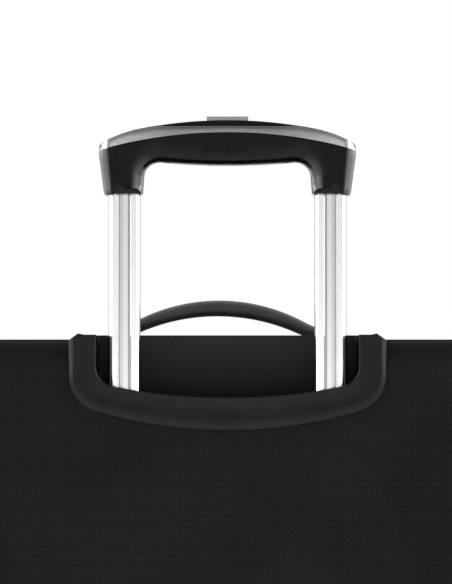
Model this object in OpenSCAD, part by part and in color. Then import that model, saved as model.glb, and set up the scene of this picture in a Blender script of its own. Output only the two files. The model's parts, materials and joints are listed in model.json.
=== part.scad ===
// Softside upright suitcase with a telescopic trolley handle.
// Millimetres, +Z up, the floor at z = 0. The lid is on the -Y side and the trolley on the +Y side.

/* [Case] */
// Width of the case across its sides
case_w = 440; // [400:5:480]
// Height of the fabric case, without its wheels and feet
case_h = 622; // [560:2:680]
// Height of the case's underside above the floor
base_z = 38; // [36:1:42]
// Radius of the case's four corners, seen from the back
corner_r = 38; // [34:1:42]
// Radius of the soft edge round the back panel
edge_r = 20; // [16:1:24]
// Thickness of the padded fabric walls
wall_t = 3; // [2.5:0.5:4]
// Depth position of the back panel's outer face
back_y = 120; // [116:1:124]
// Depth position of the front edge of the main compartment's wall
body_front_y = -56; // [-60:1:-50]

/* [Lid] */
// Gap that the main zip closes
zip_gap = 10; // [9:0.5:12]
// Depth of the lid
lid_depth = 34; // [28:1:40]
// Radius of the lid's front edge
lid_edge_r = 12; // [8:1:16]
// Depth of the large lower pocket
large_pocket_depth = 24; // [16:1:26]
// Depth of the small upper pocket
small_pocket_depth = 17; // [12:1:20]

/* [Trolley] */
// Distance between the two tubes, centre to centre
tube_pitch = 156; // [146:1:160]
// Width of a sliding tube
tube_w = 25; // [22:0.5:26]
// Depth of a sliding tube
tube_d = 15; // [13:0.5:16]
// Wall of a sliding tube
tube_t = 1.1; // [0.9:0.1:1.4]
// Depth position of the tubes' axes
tube_y = 100; // [98:1:101]
// Height of the grip's sleeves above the case top, at rest
sleeve_rise = 110; // [60:1:200]
// How far the grip goes down from rest
stow_travel = 161; // [100:1:161]
// How far the grip goes up from rest
pull_travel = 239; // [160:1:250]

/* [Cup] */
// Half of the outer width of the rim round the trolley cup
rim_half_w = 119.4; // [115:0.2:124]
// Width of the rim's arms
rim_arm = 20.4; // [16:0.2:20.4]
// How far the rim reaches below the case top
rim_drop = 67.5; // [62:0.5:70]
// How far the rim stands above the case top
rim_rise = 5; // [3:0.5:7]
// Depth of the cup below the case top
cup_drop = 53; // [48:1:55]

/* [Wheels] */
// Radius of a wheel
wheel_r = 32; // [28:1:33]
// Width of a wheel
wheel_w = 22; // [18:1:24]
// Distance from the middle of the case to a wheel's middle
wheel_x = 199; // [196:1:200]

/* [Hidden] */
$fn = 64;

gap = 0.3;
top_z = base_z + case_h;
mid_z = base_z + case_h / 2;
seam_y = back_y - edge_r - 5;
tube_x = tube_pitch / 2;
black = [0.05, 0.05, 0.05];
charcoal = [0.11, 0.11, 0.12];
silver = [0.78, 0.78, 0.79];

// Zip and lid
zip_y = body_front_y - zip_gap / 2;
lid_open_y = body_front_y - zip_gap;
lid_face_y = lid_open_y - lid_depth;
lining_front_y = body_front_y + 10;
coil_t = 2.6;
coil_w = 2.6;
coil_split = 2;
coil_inset = 1.7;
slider_bar_z = 5;
hinge_run = case_h - 2 * corner_r - 20;

// Cup and rim, measured down from the case top
rim_corner_r = 28;
rim_arc_r = 357;
mouth_half_w = rim_half_w - rim_arm;
mouth_drop = 42.7;
mouth_corner_r = 16;
mouth_arc_r = 449;
rim_face_y = back_y + 4;
rim_overlap = 4.2;
rim_front_y = 70;
cup_front_y = 76;
cup_back_y = back_y - wall_t - 0.2;
cup_wall = 2.5;
cup_wall_r = 3;
cup_floor_z = top_z - cup_drop;
cup_floor_t = 4;

// Fixed outer tubes
outer_w = tube_w + 3.6;
outer_d = tube_d + 3.6;
outer_t = 1.2;
base_bottom_z = base_z + edge_r;
base_top_z = base_bottom_z + 28;
outer_bottom_z = base_bottom_z + 6;
outer_top_z = cup_floor_z - cup_floor_t;

// Sliding tubes and grip, at rest
sleeve_z = top_z + sleeve_rise;
tube_top_z = sleeve_z + 25;
tube_bottom_z = cup_floor_z - 337;
pin_z = tube_bottom_z + 7;
pin_r = 3;
rod_r = 2;
grip_d = 28;
grip_half_w = 97.2;
band_arc_r = 360;
crown_arc_r = 340;
band_rise = 47.2;
band_flat_rise = 52.3;
crown_rise = 56.9;
belly_rise = 22.6;
grip_screw_rise = 29;
grip_screw_length = 21;
grip_screw_y = 10.7;
grip_screw_head_r = 2.5;
sleeve_inner_x = 63;
inner_fillet_r = 12;
cavity_z = sleeve_z + 27.5;
cavity_d = 16;
bar_z = sleeve_z + 33;
bar_h = 4;
button_w = 34;
button_d = 12;
button_top_z = sleeve_z + 60.7;
button_flange_z = sleeve_z + 43;

// Carry handles
handle_y = 24;
handle_w = 28;
handle_half = 88;
tang_x = 80;
tang_t = 3;
handle_lift = 10;
side_handle_z = 360;

// Wheels
axle_y = 97;
axle_z = wheel_r;
axle_r = 3;
axle_clearance = 0.05;
hub_r = 21;
bearing_r = 8;
bearing_w = 6;
well_r = wheel_r + 3;
well_w = wheel_w + 4;
housing_x0 = 178;
housing_x1 = case_w / 2 + 1.5;
housing_y0 = 60;
housing_y1 = back_y + 2;
housing_z0 = 30;
housing_z1 = 102;
flange_t = 2.8;

// Pockets
large_pocket_w = 384;
large_pocket_z0 = 68;
large_pocket_h = 332;
small_pocket_w = 384;
small_pocket_z0 = 424;
small_pocket_h = 200;
pocket_t = 2;
pocket_r = 22;
pocket_edge_r = 8;
pocket_zip_drop = 16;
pocket_zip_half = 170;
pocket_slot = 9;
slider_park_x = -158;

// ---- general shapes ----

// Turns a drawing of the back view into a solid whose thickness runs along +Y from y0 to y1.
module slab(y0, y1)
  translate([0, y0, 0]) mirror([0, 1, 0]) rotate([90, 0, 0]) linear_extrude(y1 - y0) children();

// The same for a drawing of the side view, with Y across and Z up.
module side_slab(x0, x1)
  translate([x0, 0, 0]) rotate([90, 0, 90]) linear_extrude(x1 - x0) children();

module rounded_square(w, h, r) {
  square([w, h - 2 * r], center = true);
  square([w - 2 * r, h], center = true);
  for (x = [-1, 1], y = [-1, 1])
    translate([x * (w / 2 - r), y * (h / 2 - r)]) circle(r);
}

// Carries a profile round a rounded rectangle. The profile's x is measured from the corner centre.
module ring(w, h, r) {
  for (i = [0:3]) {
    x = (i == 0 || i == 3) ? 1 : -1;
    y = i < 2 ? 1 : -1;
    translate([x * (w / 2 - r), y * (h / 2 - r), 0])
      rotate(90 * i) rotate_extrude(angle = 90) children();
    run = (i % 2 == 0 ? h : w) - 2 * r;
    out = (i % 2 == 0 ? w : h) / 2 - r;
    rotate(90 * i) translate([out, run / 2, 0]) rotate([90, 0, 0]) linear_extrude(run) children();
  }
}

// A profile carried round the case's outline, its y being the depth position.
module case_ring()
  translate([0, 0, mid_z]) mirror([0, 1, 0]) rotate([90, 0, 0]) ring(case_w, case_h, corner_r) children();

module tray_section(depth, r, er, t) {
  translate([r - er, depth - er]) intersection() {
    circle(er - t);
    square(er);
  }
  translate([r - er, 0]) square([er - t, depth - er]);
}

// A tray with a rounded edge, its mouth at z = 0 and its flat face at z = depth.
module tray(w, h, r, depth, er, t) {
  ring(w, h, r) difference() {
    tray_section(depth, r, er, 0);
    tray_section(depth, r, er, t);
  }
  translate([0, 0, depth - t]) linear_extrude(t) rounded_square(w - 2 * er, h - 2 * er, r - er);
}

module case_tray(depth, er)
  translate([0, 0, mid_z]) mirror([0, 1, 0]) rotate([90, 0, 0])
    tray(case_w, case_h, corner_r, depth, er, wall_t);

module both_sides() {
  children();
  mirror([1, 0, 0]) children();
}

function arc(cx, cy, r, a0, a1, n) =
  [for (i = [0:n]) [cx + r * cos(a0 + (a1 - a0) * i / n), cy + r * sin(a0 + (a1 - a0) * i / n)]];

// Closes a half outline, listed from the middle of one edge to the middle of the other.
function both(half) = concat(half, [for (i = [len(half) - 1:-1:0]) [-half[i][0], half[i][1]]]);

// Height of a shallow arc of radius r, whose crown is at the given height.
function bow(r, crown, x) = crown - r + sqrt(r * r - x * x);

// The right half of a broad bowl shape: bottom arc, corner arc and upright side.
function bowl_half(half_w, drop, r, arc_r, rise, g) =
  let (rr = r + g, big = arc_r + g, cy = arc_r - drop)
  let (cx = half_w - r, cz = cy - sqrt((arc_r - r) * (arc_r - r) - cx * cx))
  let (join = atan2(cz - cy, cx))
  concat(arc(0, cy, big, -90, join, 10), arc(cx, cz, rr, join, 0, 10), [[half_w + g, rise]]);

module rim_outline(g, rise)
  translate([0, top_z])
    polygon(both(bowl_half(rim_half_w, rim_drop, rim_corner_r, rim_arc_r, rise, g)));

module mouth_outline(g, rise)
  translate([0, top_z])
    polygon(both(bowl_half(mouth_half_w, mouth_drop, mouth_corner_r, mouth_arc_r, rise, g)));

// A coil spring: a wire swept along a helix.
module coil_spring(r, wire, pitch, turns) {
  sides = 6;
  steps = 12 * turns;
  rings = [for (i = [0:steps]) [for (j = [0:sides - 1])
    let (a = 30 * i, b = 360 * j / sides, d = r + wire * cos(b))
    [d * cos(a), d * sin(a), pitch * i / 12 + wire * sin(b)]]];
  walls = [for (i = [0:steps - 1], j = [0:sides - 1])
    let (k = (j + 1) % sides, a = i * sides, b = (i + 1) * sides)
    each [[a + j, a + k, b + k], [a + j, b + k, b + j]]];
  first = [for (j = [sides - 1:-1:0]) j];
  last = [for (j = [0:sides - 1]) steps * sides + j];
  polyhedron([for (section = rings) for (p = section) p],
    [for (f = concat(walls, [first, last])) [for (i = [len(f) - 1:-1:0]) f[i]]]);
}

// ---- fastener places, shared by the screws and their holes ----

module base_screw_places()
  for (x = [-40, 40]) translate([x, back_y, base_bottom_z + 14]) rotate([90, 0, 0]) children();

module foot_screw_places()
  for (x = [-160, 160], dx = [-8, 8])
    translate([x + dx, foot_y(), base_z + wall_t]) rotate([180, 0, 0]) children();

module housing_screw_places()
  for (x = [-160, 160], y = [70, 86]) translate([x, y, base_z - flange_t]) children();

module shank(length) cylinder(r = 2, h = length);

module screw(length) {
  shank(length);
  translate([0, 0, -2]) cylinder(r = 4.2, h = 2);
}

function foot_y() = body_front_y + 16;

// ---- fabric case ----

module housing_block(g) {
  w = case_w / 2 - housing_x0 + 20;
  intersection() {
    side_slab(housing_x0 - g, housing_x1 + g)
      translate([(housing_y0 + housing_y1) / 2, (housing_z0 + housing_z1) / 2])
        rounded_square(housing_y1 - housing_y0 + 2 * g, housing_z1 - housing_z0 + 2 * g, 14);
    slab(housing_y0 - 1, housing_y1 + 1)
      translate([housing_x1 + g - w / 2, housing_z1 + g - 50]) rounded_square(w, 100, 12);
  }
}

module housing_cuts(g) both_sides() {
  housing_block(g);
  translate([housing_x0 + 4, housing_y0 - g, base_z - 20]) cube([50, 62 + 2 * g, 50]);
}

module back_shell() color(black) difference() {
  translate([0, seam_y, 0]) case_tray(back_y - seam_y, edge_r);
  slab(seam_y - 5, back_y + 5) rim_outline(-rim_overlap, 20);
  housing_cuts(gap);
  base_screw_places() shank(12);
}

module gusset() color(black) difference() {
  case_ring() translate([corner_r - wall_t, body_front_y]) square([wall_t, seam_y - body_front_y]);
  translate([-mouth_half_w - 4.5, cup_front_y - 0.5, top_z - 20])
    cube([2 * mouth_half_w + 9, 40, 40]);
  housing_cuts(gap);
  foot_screw_places() translate([0, 0, -5]) shank(12);
  housing_screw_places() shank(12);
  top_handle_frame() tang_slots(9);
  side_handle_frame() tang_slots(9);
}

module front_frame_rod() color("silver")
  case_ring() translate([corner_r - wall_t - 3.4, body_front_y + 7]) circle(2);

module lining() color([0.25, 0.25, 0.27]) difference() {
  inset = wall_t + 0.3;
  translate([0, lining_front_y, mid_z]) mirror([0, 1, 0]) rotate([90, 0, 0])
    tray(case_w - 2 * inset, case_h - 2 * inset, corner_r - inset,
      cup_front_y - 0.3 - lining_front_y, 6, 0.8);
  housing_cuts(1);
  top_handle_frame() foot_cuts();
  side_handle_frame() foot_cuts();
  foot_screw_places() translate([0, 0, -6]) cylinder(r = 4.5, h = 8);
  housing_screw_places() cylinder(r = 4, h = 14);
}

module tube_cover() color([0.2, 0.2, 0.21])
  translate([0, 0, base_bottom_z]) linear_extrude(outer_top_z - base_bottom_z - 1) difference() {
    translate([-112, 83]) square([224, back_y - wall_t - 83.3]);
    translate([-110, 85]) square([220, back_y]);
  }

// ---- trolley cup ----

module trolley_cup() color(charcoal) difference() {
  translate([-mouth_half_w - 3.5, cup_front_y, cup_floor_z - cup_floor_t])
    cube([2 * mouth_half_w + 7, cup_back_y - cup_front_y, cup_drop + cup_floor_t]);
  translate([0, (cup_front_y + cup_back_y) / 2, cup_floor_z]) linear_extrude(cup_drop + 10)
    rounded_square(2 * mouth_half_w + 2, cup_back_y - cup_front_y - 2 * cup_wall, cup_wall_r);
  slab(back_y - 12, back_y + 1) mouth_outline(1, 20);
  both_sides() translate([tube_x, tube_y, cup_floor_z - cup_floor_t - 1])
    linear_extrude(cup_floor_t + 2) rounded_square(outer_w, outer_d, 3.5);
}

module rim_plan() difference() {
  translate([0, (rim_front_y + rim_face_y + 20) / 2])
    rounded_square(2 * rim_half_w, rim_face_y + 20 - rim_front_y, 12);
  translate([-mouth_half_w, cup_front_y + cup_wall + 0.5]) square([2 * mouth_half_w, 100]);
  translate([-200, rim_face_y]) square([400, 100]);
}

module trolley_rim() color(charcoal) difference() {
  union() {
    slab(back_y + 0.2, rim_face_y) difference() {
      rim_outline(0, rim_rise);
      mouth_outline(0, 20);
    }
    slab(cup_back_y + 0.2, back_y + 1) intersection() {
      difference() {
        mouth_outline(2.5, rim_rise);
        mouth_outline(0, 20);
      }
      rim_outline(0, rim_rise);
    }
    difference() {
      slab(back_y - edge_r, back_y + 0.2) difference() {
        rim_outline(0, rim_rise);
        rim_outline(-3, 20);
      }
      translate([0, -edge_r, 0]) case_ring() square([corner_r, back_y]);
      case_ring() translate([0, back_y - edge_r]) intersection() {
        translate([corner_r - edge_r, 0]) circle(edge_r + 0.2);
        square(corner_r + 1);
      }
      case_ring() translate([0, back_y - edge_r]) square([corner_r - edge_r, edge_r + 0.2]);
      slab(back_y - edge_r - 1, back_y + 0.2) translate([0, mid_z])
        square([case_w - 2 * corner_r + 1, case_h - 2 * corner_r + 1], center = true);
    }
    translate([0, 0, top_z + 0.2]) linear_extrude(rim_rise - 0.2) rim_plan();
  }
  // The rim's outer top edges are eased.
  both_sides() translate([rim_half_w, 0, top_z + rim_rise]) rotate([0, 45, 0])
    cube([3, 400, 3], center = true);
}

module outer_tube() translate([tube_x, tube_y, 0]) difference() {
  translate([0, 0, outer_bottom_z]) linear_extrude(outer_top_z - outer_bottom_z) difference() {
    rounded_square(outer_w, outer_d, 3.5);
    rounded_square(outer_w - 2 * outer_t, outer_d - 2 * outer_t, 2.6);
  }
  for (dz = [-stow_travel, pull_travel])
    translate([outer_w / 2 - 3, 0, pin_z + dz]) rotate([0, 90, 0]) cylinder(r = pin_r + 0.3, h = 6);
}

module outer_tube_right() color("silver") outer_tube();

module outer_tube_left() color("silver") mirror([1, 0, 0]) outer_tube();

module tube_bushes() color("white") both_sides() translate([tube_x, tube_y, 0]) difference() {
  union() {
    translate([0, 0, outer_top_z]) linear_extrude(cup_floor_t)
      rounded_square(outer_w - 0.2, outer_d - 0.2, 3.4);
    translate([0, 0, cup_floor_z + 0.1]) linear_extrude(1.4) rounded_square(outer_w + 3, outer_d + 3, 5);
    translate([0, 0, cup_floor_z - 1]) linear_extrude(2) rounded_square(outer_w - 0.2, outer_d - 0.2, 3.4);
  }
  translate([0, 0, outer_top_z - 1]) linear_extrude(cup_floor_t + 5)
    rounded_square(tube_w + 2 * gap, tube_d + 2 * gap, 3.3);
}

module trolley_base() color(charcoal) difference() {
  union() {
    translate([-100, back_y - wall_t - 17, base_bottom_z]) cube([200, 16.7, base_top_z - base_bottom_z]);
    both_sides() translate([tube_x, tube_y + 2, base_bottom_z])
      linear_extrude(base_top_z - base_bottom_z) rounded_square(outer_w + 9, outer_d + 9, 4);
  }
  both_sides() translate([tube_x, tube_y, outer_bottom_z]) linear_extrude(base_top_z)
    rounded_square(outer_w + 0.2, outer_d + 0.2, 3.6);
  base_screw_places() shank(14);
}

// ---- wheels, feet and screws ----

module on_axle(x) translate([x, axle_y, axle_z]) rotate([0, 90, 0]) children();

module wheel_housing() difference() {
  union() {
    difference() {
      housing_block(0);
      translate([housing_x0 - 5, housing_y0 + 3, well_r + axle_z + 3])
        cube([housing_x1 - housing_x0 + 2, housing_y1 - housing_y0 - 6, 90]);
    }
    translate([housing_x0 - 26, housing_y0 + 4, base_z - flange_t]) cube([30, 28, flange_t - 0.1]);
    for (x = [housing_x0, wheel_x + well_w / 2]) {
      on_axle(x) cylinder(r = 13, h = x > wheel_x ? housing_x1 - x : wheel_x - well_w / 2 - x);
      translate([x, axle_y - 13, axle_z])
        cube([x > wheel_x ? housing_x1 - x : wheel_x - well_w / 2 - x, 24, 20]);
    }
  }
  on_axle(wheel_x - well_w / 2) cylinder(r = well_r, h = well_w);
  translate([wheel_x - well_w / 2, axle_y - well_r, -1]) cube([well_w, 2 * well_r, axle_z + 1]);
  on_axle(housing_x0 + 3) cylinder(r = axle_r, h = 37.5);
  housing_screw_places() translate([0, 0, -1]) shank(10);
}

module wheel_housing_right() color(charcoal) wheel_housing();

module wheel_housing_left() color(charcoal) mirror([1, 0, 0]) wheel_housing();

module axles() color("silver") both_sides() on_axle(housing_x0 + 3) cylinder(r = axle_r, h = 37.5);

module tyre() on_axle(wheel_x) rotate_extrude() difference() {
  translate([hub_r, -wheel_w / 2]) rounded_tread();
  translate([hub_r - 1, -3]) square([2.5, 6]);
}

module rounded_tread() {
  depth = wheel_r - hub_r;
  square([depth - 4, wheel_w]);
  translate([0, 4]) square([depth, wheel_w - 8]);
  for (y = [4, wheel_w - 4]) translate([depth - 4, y]) circle(4);
}

module wheel_hub() on_axle(wheel_x) difference() {
  union() {
    translate([0, 0, -wheel_w / 2 + 2]) cylinder(r = hub_r, h = wheel_w - 4);
    translate([0, 0, -3]) cylinder(r = hub_r + 1.5, h = 6);
    translate([0, 0, -wheel_w / 2 - 1]) cylinder(r = 11, h = wheel_w + 2);
  }
  translate([0, 0, -wheel_w]) cylinder(r = bearing_r, h = 2 * wheel_w);
  for (a = [0:72:359]) rotate(a) translate([15.4, 0, -wheel_w]) cylinder(r = 3.2, h = 2 * wheel_w);
}

module bearings() on_axle(wheel_x) for (z = [-wheel_w / 2 - 1, wheel_w / 2 + 1 - bearing_w])
  translate([0, 0, z]) difference() {
    cylinder(r = bearing_r, h = bearing_w);
    translate([0, 0, -1]) cylinder(r = axle_r + axle_clearance, h = bearing_w + 2);
  }

module tyre_right() color("dimgray") tyre();

module tyre_left() color("dimgray") mirror([1, 0, 0]) tyre();

module wheel_hub_right() color("gray") wheel_hub();

module wheel_hub_left() color("gray") mirror([1, 0, 0]) wheel_hub();

module bearings_right() color("silver") bearings();

module bearings_left() color("silver") mirror([1, 0, 0]) bearings();

module foot(x) color(charcoal) translate([x, foot_y(), 0]) difference() {
  union() {
    for (dx = [-12, 12]) translate([dx, 0, 0]) cylinder(r1 = 10, r2 = 14, h = base_z);
    rotate([90, 0, 90]) translate([0, 0, -12]) linear_extrude(24)
      polygon([[-10, 0], [10, 0], [14, base_z], [-14, base_z]]);
  }
  for (dx = [-8, 8]) translate([dx, 0, 18]) cylinder(r = 2, h = base_z);
}

module foot_left() foot(-160);

module foot_right() foot(160);

module case_screws() color("silver") {
  base_screw_places() screw(14);
  foot_screw_places() screw(22);
  housing_screw_places() screw(9);
}

// ---- zips ----

// Half of the main zip: the tape and its row of coils, at one side of the split.
module zip_half(tape_y, coil_y) difference() {
  case_ring() {
    translate([corner_r - coil_inset - 0.4, min(tape_y, coil_y)]) square([0.8, abs(tape_y - coil_y)]);
    translate([corner_r - coil_inset, coil_y]) square([coil_t, coil_w], center = true);
  }
  translate([-case_w / 2 - 10, zip_y - 50, mid_z - hinge_run / 2]) cube([60, 100, hinge_run]);
}

module body_zip() color("dimgray")
  zip_half(body_front_y, zip_y + coil_split / 2 + coil_w / 2);

module lid_zip() color("dimgray")
  zip_half(lid_open_y, zip_y - coil_split / 2 - coil_w / 2);

module hinge_strip() color(black)
  translate([-case_w / 2 - 3, zip_y - 13, mid_z - hinge_run / 2 + 1]) cube([2.8, 26, hinge_run - 2]);

// A slider at the origin: the zip runs along X and the outside is +Z.
module slider(lower) {
  for (z = [lower, 1.9]) translate([0, 0, z]) linear_extrude(1.2) rounded_square(14, 8.4, 3);
  translate([-4, -0.7, lower]) cube([8, 1.4, 2 - lower]);
  for (x = [-5, 3.8]) translate([x, -1, 2]) cube([1.2, 2, slider_bar_z - 1.4]);
  translate([-5, 0, slider_bar_z]) rotate([0, 90, 0]) cylinder(r = 0.92, h = 10);
}

// The slider's pull tab, its eye round the slider's bar.
module pull_tab() difference() {
  union() {
    translate([-2.6, 0, slider_bar_z]) rotate([0, 90, 0]) cylinder(r = 1.6, h = 5.2);
    translate([-2.6, -5, slider_bar_z - 0.8]) cube([5.2, 5, 1.4]);
    translate([0, -18, slider_bar_z - 0.8]) linear_extrude(1.4) rounded_square(8, 28, 3);
  }
  translate([-4, 0, slider_bar_z]) rotate([0, 90, 0]) cylinder(r = 1, h = 8);
  translate([0, -27, 3]) cylinder(r = 2, h = 6);
}

main_slider_z = top_z - coil_inset;
main_slider_x = 9;

module main_slider_left() color("gray") translate([-main_slider_x, zip_y, main_slider_z]) slider(-3.1);

module main_slider_right() color("gray") translate([main_slider_x, zip_y, main_slider_z]) slider(-3.1);

module main_pull_left() color("gray") translate([-main_slider_x, zip_y, main_slider_z]) pull_tab();

module main_pull_right() color("gray") translate([main_slider_x, zip_y, main_slider_z]) pull_tab();

// Places a pocket's slider parts on its zip, facing the front.
module on_pocket_zip(x, z, depth)
  translate([x, lid_face_y - depth + 1.3, z]) rotate([90, 0, 0]) children();

large_zip_z = large_pocket_z0 + large_pocket_h - pocket_zip_drop;
small_zip_z = small_pocket_z0 + small_pocket_h - pocket_zip_drop;

module large_pocket_slider() color("gray")
  on_pocket_zip(slider_park_x, large_zip_z, large_pocket_depth) slider(-3.1);

module large_pocket_pull() color("gray")
  on_pocket_zip(slider_park_x, large_zip_z, large_pocket_depth) pull_tab();

module small_pocket_slider() color("gray")
  on_pocket_zip(slider_park_x, small_zip_z, small_pocket_depth) slider(-3.1);

module small_pocket_pull() color("gray")
  on_pocket_zip(slider_park_x, small_zip_z, small_pocket_depth) pull_tab();

module straight_zip() for (s = [-1, 1]) {
  translate([-pocket_zip_half, s > 0 ? 1.2 : -4.4, -0.4]) cube([2 * pocket_zip_half, 3.2, 0.8]);
  translate([-pocket_zip_half, s > 0 ? 1 : -3.6, -coil_t / 2]) cube([2 * pocket_zip_half, 2.6, coil_t]);
}

module pocket_zips() color("dimgray") {
  on_pocket_zip(0, large_zip_z, large_pocket_depth) straight_zip();
  on_pocket_zip(0, small_zip_z, small_pocket_depth) straight_zip();
}

// ---- lid ----

module lid_shell() color(black)
  translate([0, lid_open_y, 0]) mirror([0, 1, 0]) case_tray(lid_depth, lid_edge_r);

module lid_frame_rod() color("silver")
  case_ring() translate([corner_r - wall_t - 3.4, lid_open_y - 7]) circle(2);

module lid_lining() color([0.25, 0.25, 0.27]) {
  slab(lid_face_y + wall_t + 0.3, lid_face_y + wall_t + 1.1) translate([0, mid_z])
    rounded_square(case_w - 2 * lid_edge_r, case_h - 2 * lid_edge_r, corner_r - lid_edge_r);
}

module lid_piping() color(black)
  case_ring() translate([corner_r + 1.2, lid_face_y + lid_edge_r]) circle(1.2);

module pocket(w, h, z0, depth, zip_z) color(black) difference() {
  translate([0, lid_face_y, z0 + h / 2]) rotate([90, 0, 0])
    tray(w, h, pocket_r, depth, pocket_edge_r, pocket_t);
  translate([0, lid_face_y - depth, zip_z])
    cube([2 * pocket_zip_half + 2, 10, pocket_slot], center = true);
}

module large_pocket()
  pocket(large_pocket_w, large_pocket_h, large_pocket_z0, large_pocket_depth, large_zip_z);

module small_pocket()
  pocket(small_pocket_w, small_pocket_h, small_pocket_z0, small_pocket_depth, small_zip_z);

// ---- carry handles ----

module top_handle_frame() translate([0, handle_y, top_z]) children();

module side_handle_frame() translate([case_w / 2, handle_y, side_handle_z]) rotate([0, 90, 0]) children();

module tang_slots(depth) for (s = [-1, 1])
  translate([s * tang_x - tang_t / 2 - 0.5, -handle_w / 2 + 2.5, -depth])
    cube([tang_t + 1, handle_w - 5, depth + 5]);

module foot_cuts() for (s = [-1, 1])
  translate([s * tang_x - 8, -handle_w / 2, -handle_lift - 9]) cube([16, handle_w, handle_lift + 9]);

// An arched handle over a surface at z = 0, its ends sliding in slotted plates.
module carry_handle(rise, thickness, arch_r) {
  intersection() {
    translate([0, handle_w / 2, 0]) rotate([90, 0, 0]) linear_extrude(handle_w)
      translate([0, rise - arch_r]) difference() {
        circle(arch_r, $fn = 360);
        circle(arch_r - thickness, $fn = 360);
      }
    translate([-handle_half, -handle_w, 2.6]) cube([2 * handle_half, 2 * handle_w, rise]);
  }
  for (s = [-1, 1]) {
    translate([s * tang_x - tang_t / 2, -handle_w / 2 + 3, -handle_lift - wall_t - 2])
      cube([tang_t, handle_w - 6, handle_lift + wall_t + 6]);
    translate([s * tang_x - 6, -handle_w / 2 + 3, -handle_lift - wall_t - 4])
      cube([12, handle_w - 6, 3]);
  }
}

module handle_plates() for (s = [-1, 1]) difference() {
  translate([s * tang_x, 0, 0.1]) linear_extrude(2) rounded_square(22, handle_w + 12, 6);
  tang_slots(1);
}

module top_handle() color(black) top_handle_frame() carry_handle(31, 12, 170);

module side_handle() color(black) side_handle_frame() carry_handle(12.5, 5.5, 600);

module top_handle_plates() color(charcoal) top_handle_frame() handle_plates();

module side_handle_plates() color(charcoal) side_handle_frame() handle_plates();

// ---- trolley ----

module inner_tube() translate([tube_x, tube_y, 0]) difference() {
  translate([0, 0, tube_bottom_z]) linear_extrude(tube_top_z - tube_bottom_z) difference() {
    rounded_square(tube_w, tube_d, 3);
    rounded_square(tube_w - 2 * tube_t, tube_d - 2 * tube_t, 2);
    for (x = [-4.2, 4.2], y = [-1, 1]) translate([x, y * (tube_d / 2 + 0.25)]) circle(0.7);
  }
  translate([tube_w / 2 - 3, 0, pin_z]) rotate([0, 90, 0]) cylinder(r = pin_r + 0.05, h = 6);
}

module inner_tube_right() color(silver) inner_tube();

module inner_tube_left() color(silver) mirror([1, 0, 0]) inner_tube();

module tube_plugs() color("black") both_sides() translate([tube_x, tube_y, tube_bottom_z]) {
  translate([0, 0, -10]) linear_extrude(10) rounded_square(tube_w + 0.6, tube_d + 0.6, 2.3);
  linear_extrude(3) rounded_square(tube_w - 2 * tube_t - 0.1, tube_d - 2 * tube_t - 0.1, 1.9);
}

module lock_pin() translate([tube_x, tube_y, pin_z]) rotate([0, 90, 0]) translate([0, 0, 1])
  cylinder(r = pin_r, h = tube_w / 2 - 0.8);

module lock_pin_right() color("silver") lock_pin();

module lock_pin_left() color("silver") mirror([1, 0, 0]) lock_pin();

module pin_springs() color("gray") both_sides()
  translate([tube_x - tube_w / 2 + tube_t + 0.5, tube_y, pin_z]) rotate([0, 90, 0])
    coil_spring(2, 0.35, 2.8, 4);

// Height of the grip's outlines, above the bottom of the sleeves.
function crown(x) = bow(crown_arc_r, crown_rise, x);

function band_under(x) = bow(band_arc_r, band_rise, x);

function belly(x) = belly_rise + 2.4 * pow(x / (sleeve_inner_x - inner_fillet_r), 2);

grip_lower_half = concat(
  [for (x = [0:10:50]) [x, belly(x)]],
  arc(sleeve_inner_x - inner_fillet_r, 25 - inner_fillet_r, inner_fillet_r, 90, 0, 8),
  [[sleeve_inner_x + 1, 0], [grip_half_w - 3.6, 0], [grip_half_w, 30], [grip_half_w - 0.4, 34.1]],
  [for (x = [90:-10:0]) [x, band_under(x)]]);

band_half = concat(
  [for (x = [0:10:90]) [x, band_under(x)]],
  [[grip_half_w - 0.4, 34.1]],
  arc(grip_half_w - 8, 37, 8, 0, 80, 8),
  [for (x = [84:-7:56]) [x, crown(x)]],
  [[55, band_flat_rise], [0, band_flat_rise]]);

insert_half = concat(
  [[0, band_flat_rise], [55, band_flat_rise]],
  [for (x = [50:-5:0]) [x, crown(x)]]);

module grip_slab(d) slab(tube_y - d / 2, tube_y + d / 2) translate([0, sleeve_z]) children();

module button_hole(g) translate([0, tube_y, sleeve_z + 20]) linear_extrude(60)
  rounded_square(button_w + g, button_d + g, 2);

module grip_screw_places()
  for (x = [-45, 45], y = [-grip_screw_y, grip_screw_y])
    translate([x, tube_y + y, sleeve_z + grip_screw_rise]) children();

module grip_screw_shank(length) cylinder(r = 1.5, h = length);

module grip_body() color(black) difference() {
  grip_slab(grip_d) polygon(both(grip_lower_half));
  translate([-grip_half_w + 12, tube_y - cavity_d / 2, cavity_z])
    cube([2 * grip_half_w - 24, cavity_d, 40]);
  both_sides() {
    translate([tube_x, tube_y, sleeve_z - 1]) linear_extrude(tube_top_z - sleeve_z + 1)
      rounded_square(tube_w + 0.1, tube_d + 0.1, 3.05);
    translate([tube_x, tube_y, sleeve_z]) cylinder(r = rod_r + 1, h = 40);
  }
  grip_screw_places() {
    grip_screw_shank(30);
    translate([0, 0, -8]) cylinder(r = grip_screw_head_r, h = 8);
  }
}

module grip_band() color(silver) difference() {
  grip_slab(grip_d) polygon(both(band_half));
  button_hole(1);
  grip_screw_places() grip_screw_shank(grip_screw_length);
}

module grip_insert() color(black) difference() {
  grip_slab(grip_d - 6) polygon(both(insert_half));
  button_hole(1);
}

module grip_screws() color("silver") grip_screw_places() {
  grip_screw_shank(grip_screw_length);
  translate([0, 0, -2]) cylinder(r = grip_screw_head_r, h = 2);
}

module release_button() color(silver) {
  translate([0, tube_y, button_flange_z]) linear_extrude(button_top_z - button_flange_z)
    rounded_square(button_w, button_d, 1.7);
  translate([0, tube_y, button_flange_z]) linear_extrude(3)
    rounded_square(button_w + 4, button_d + 3, 1.7);
}

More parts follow.
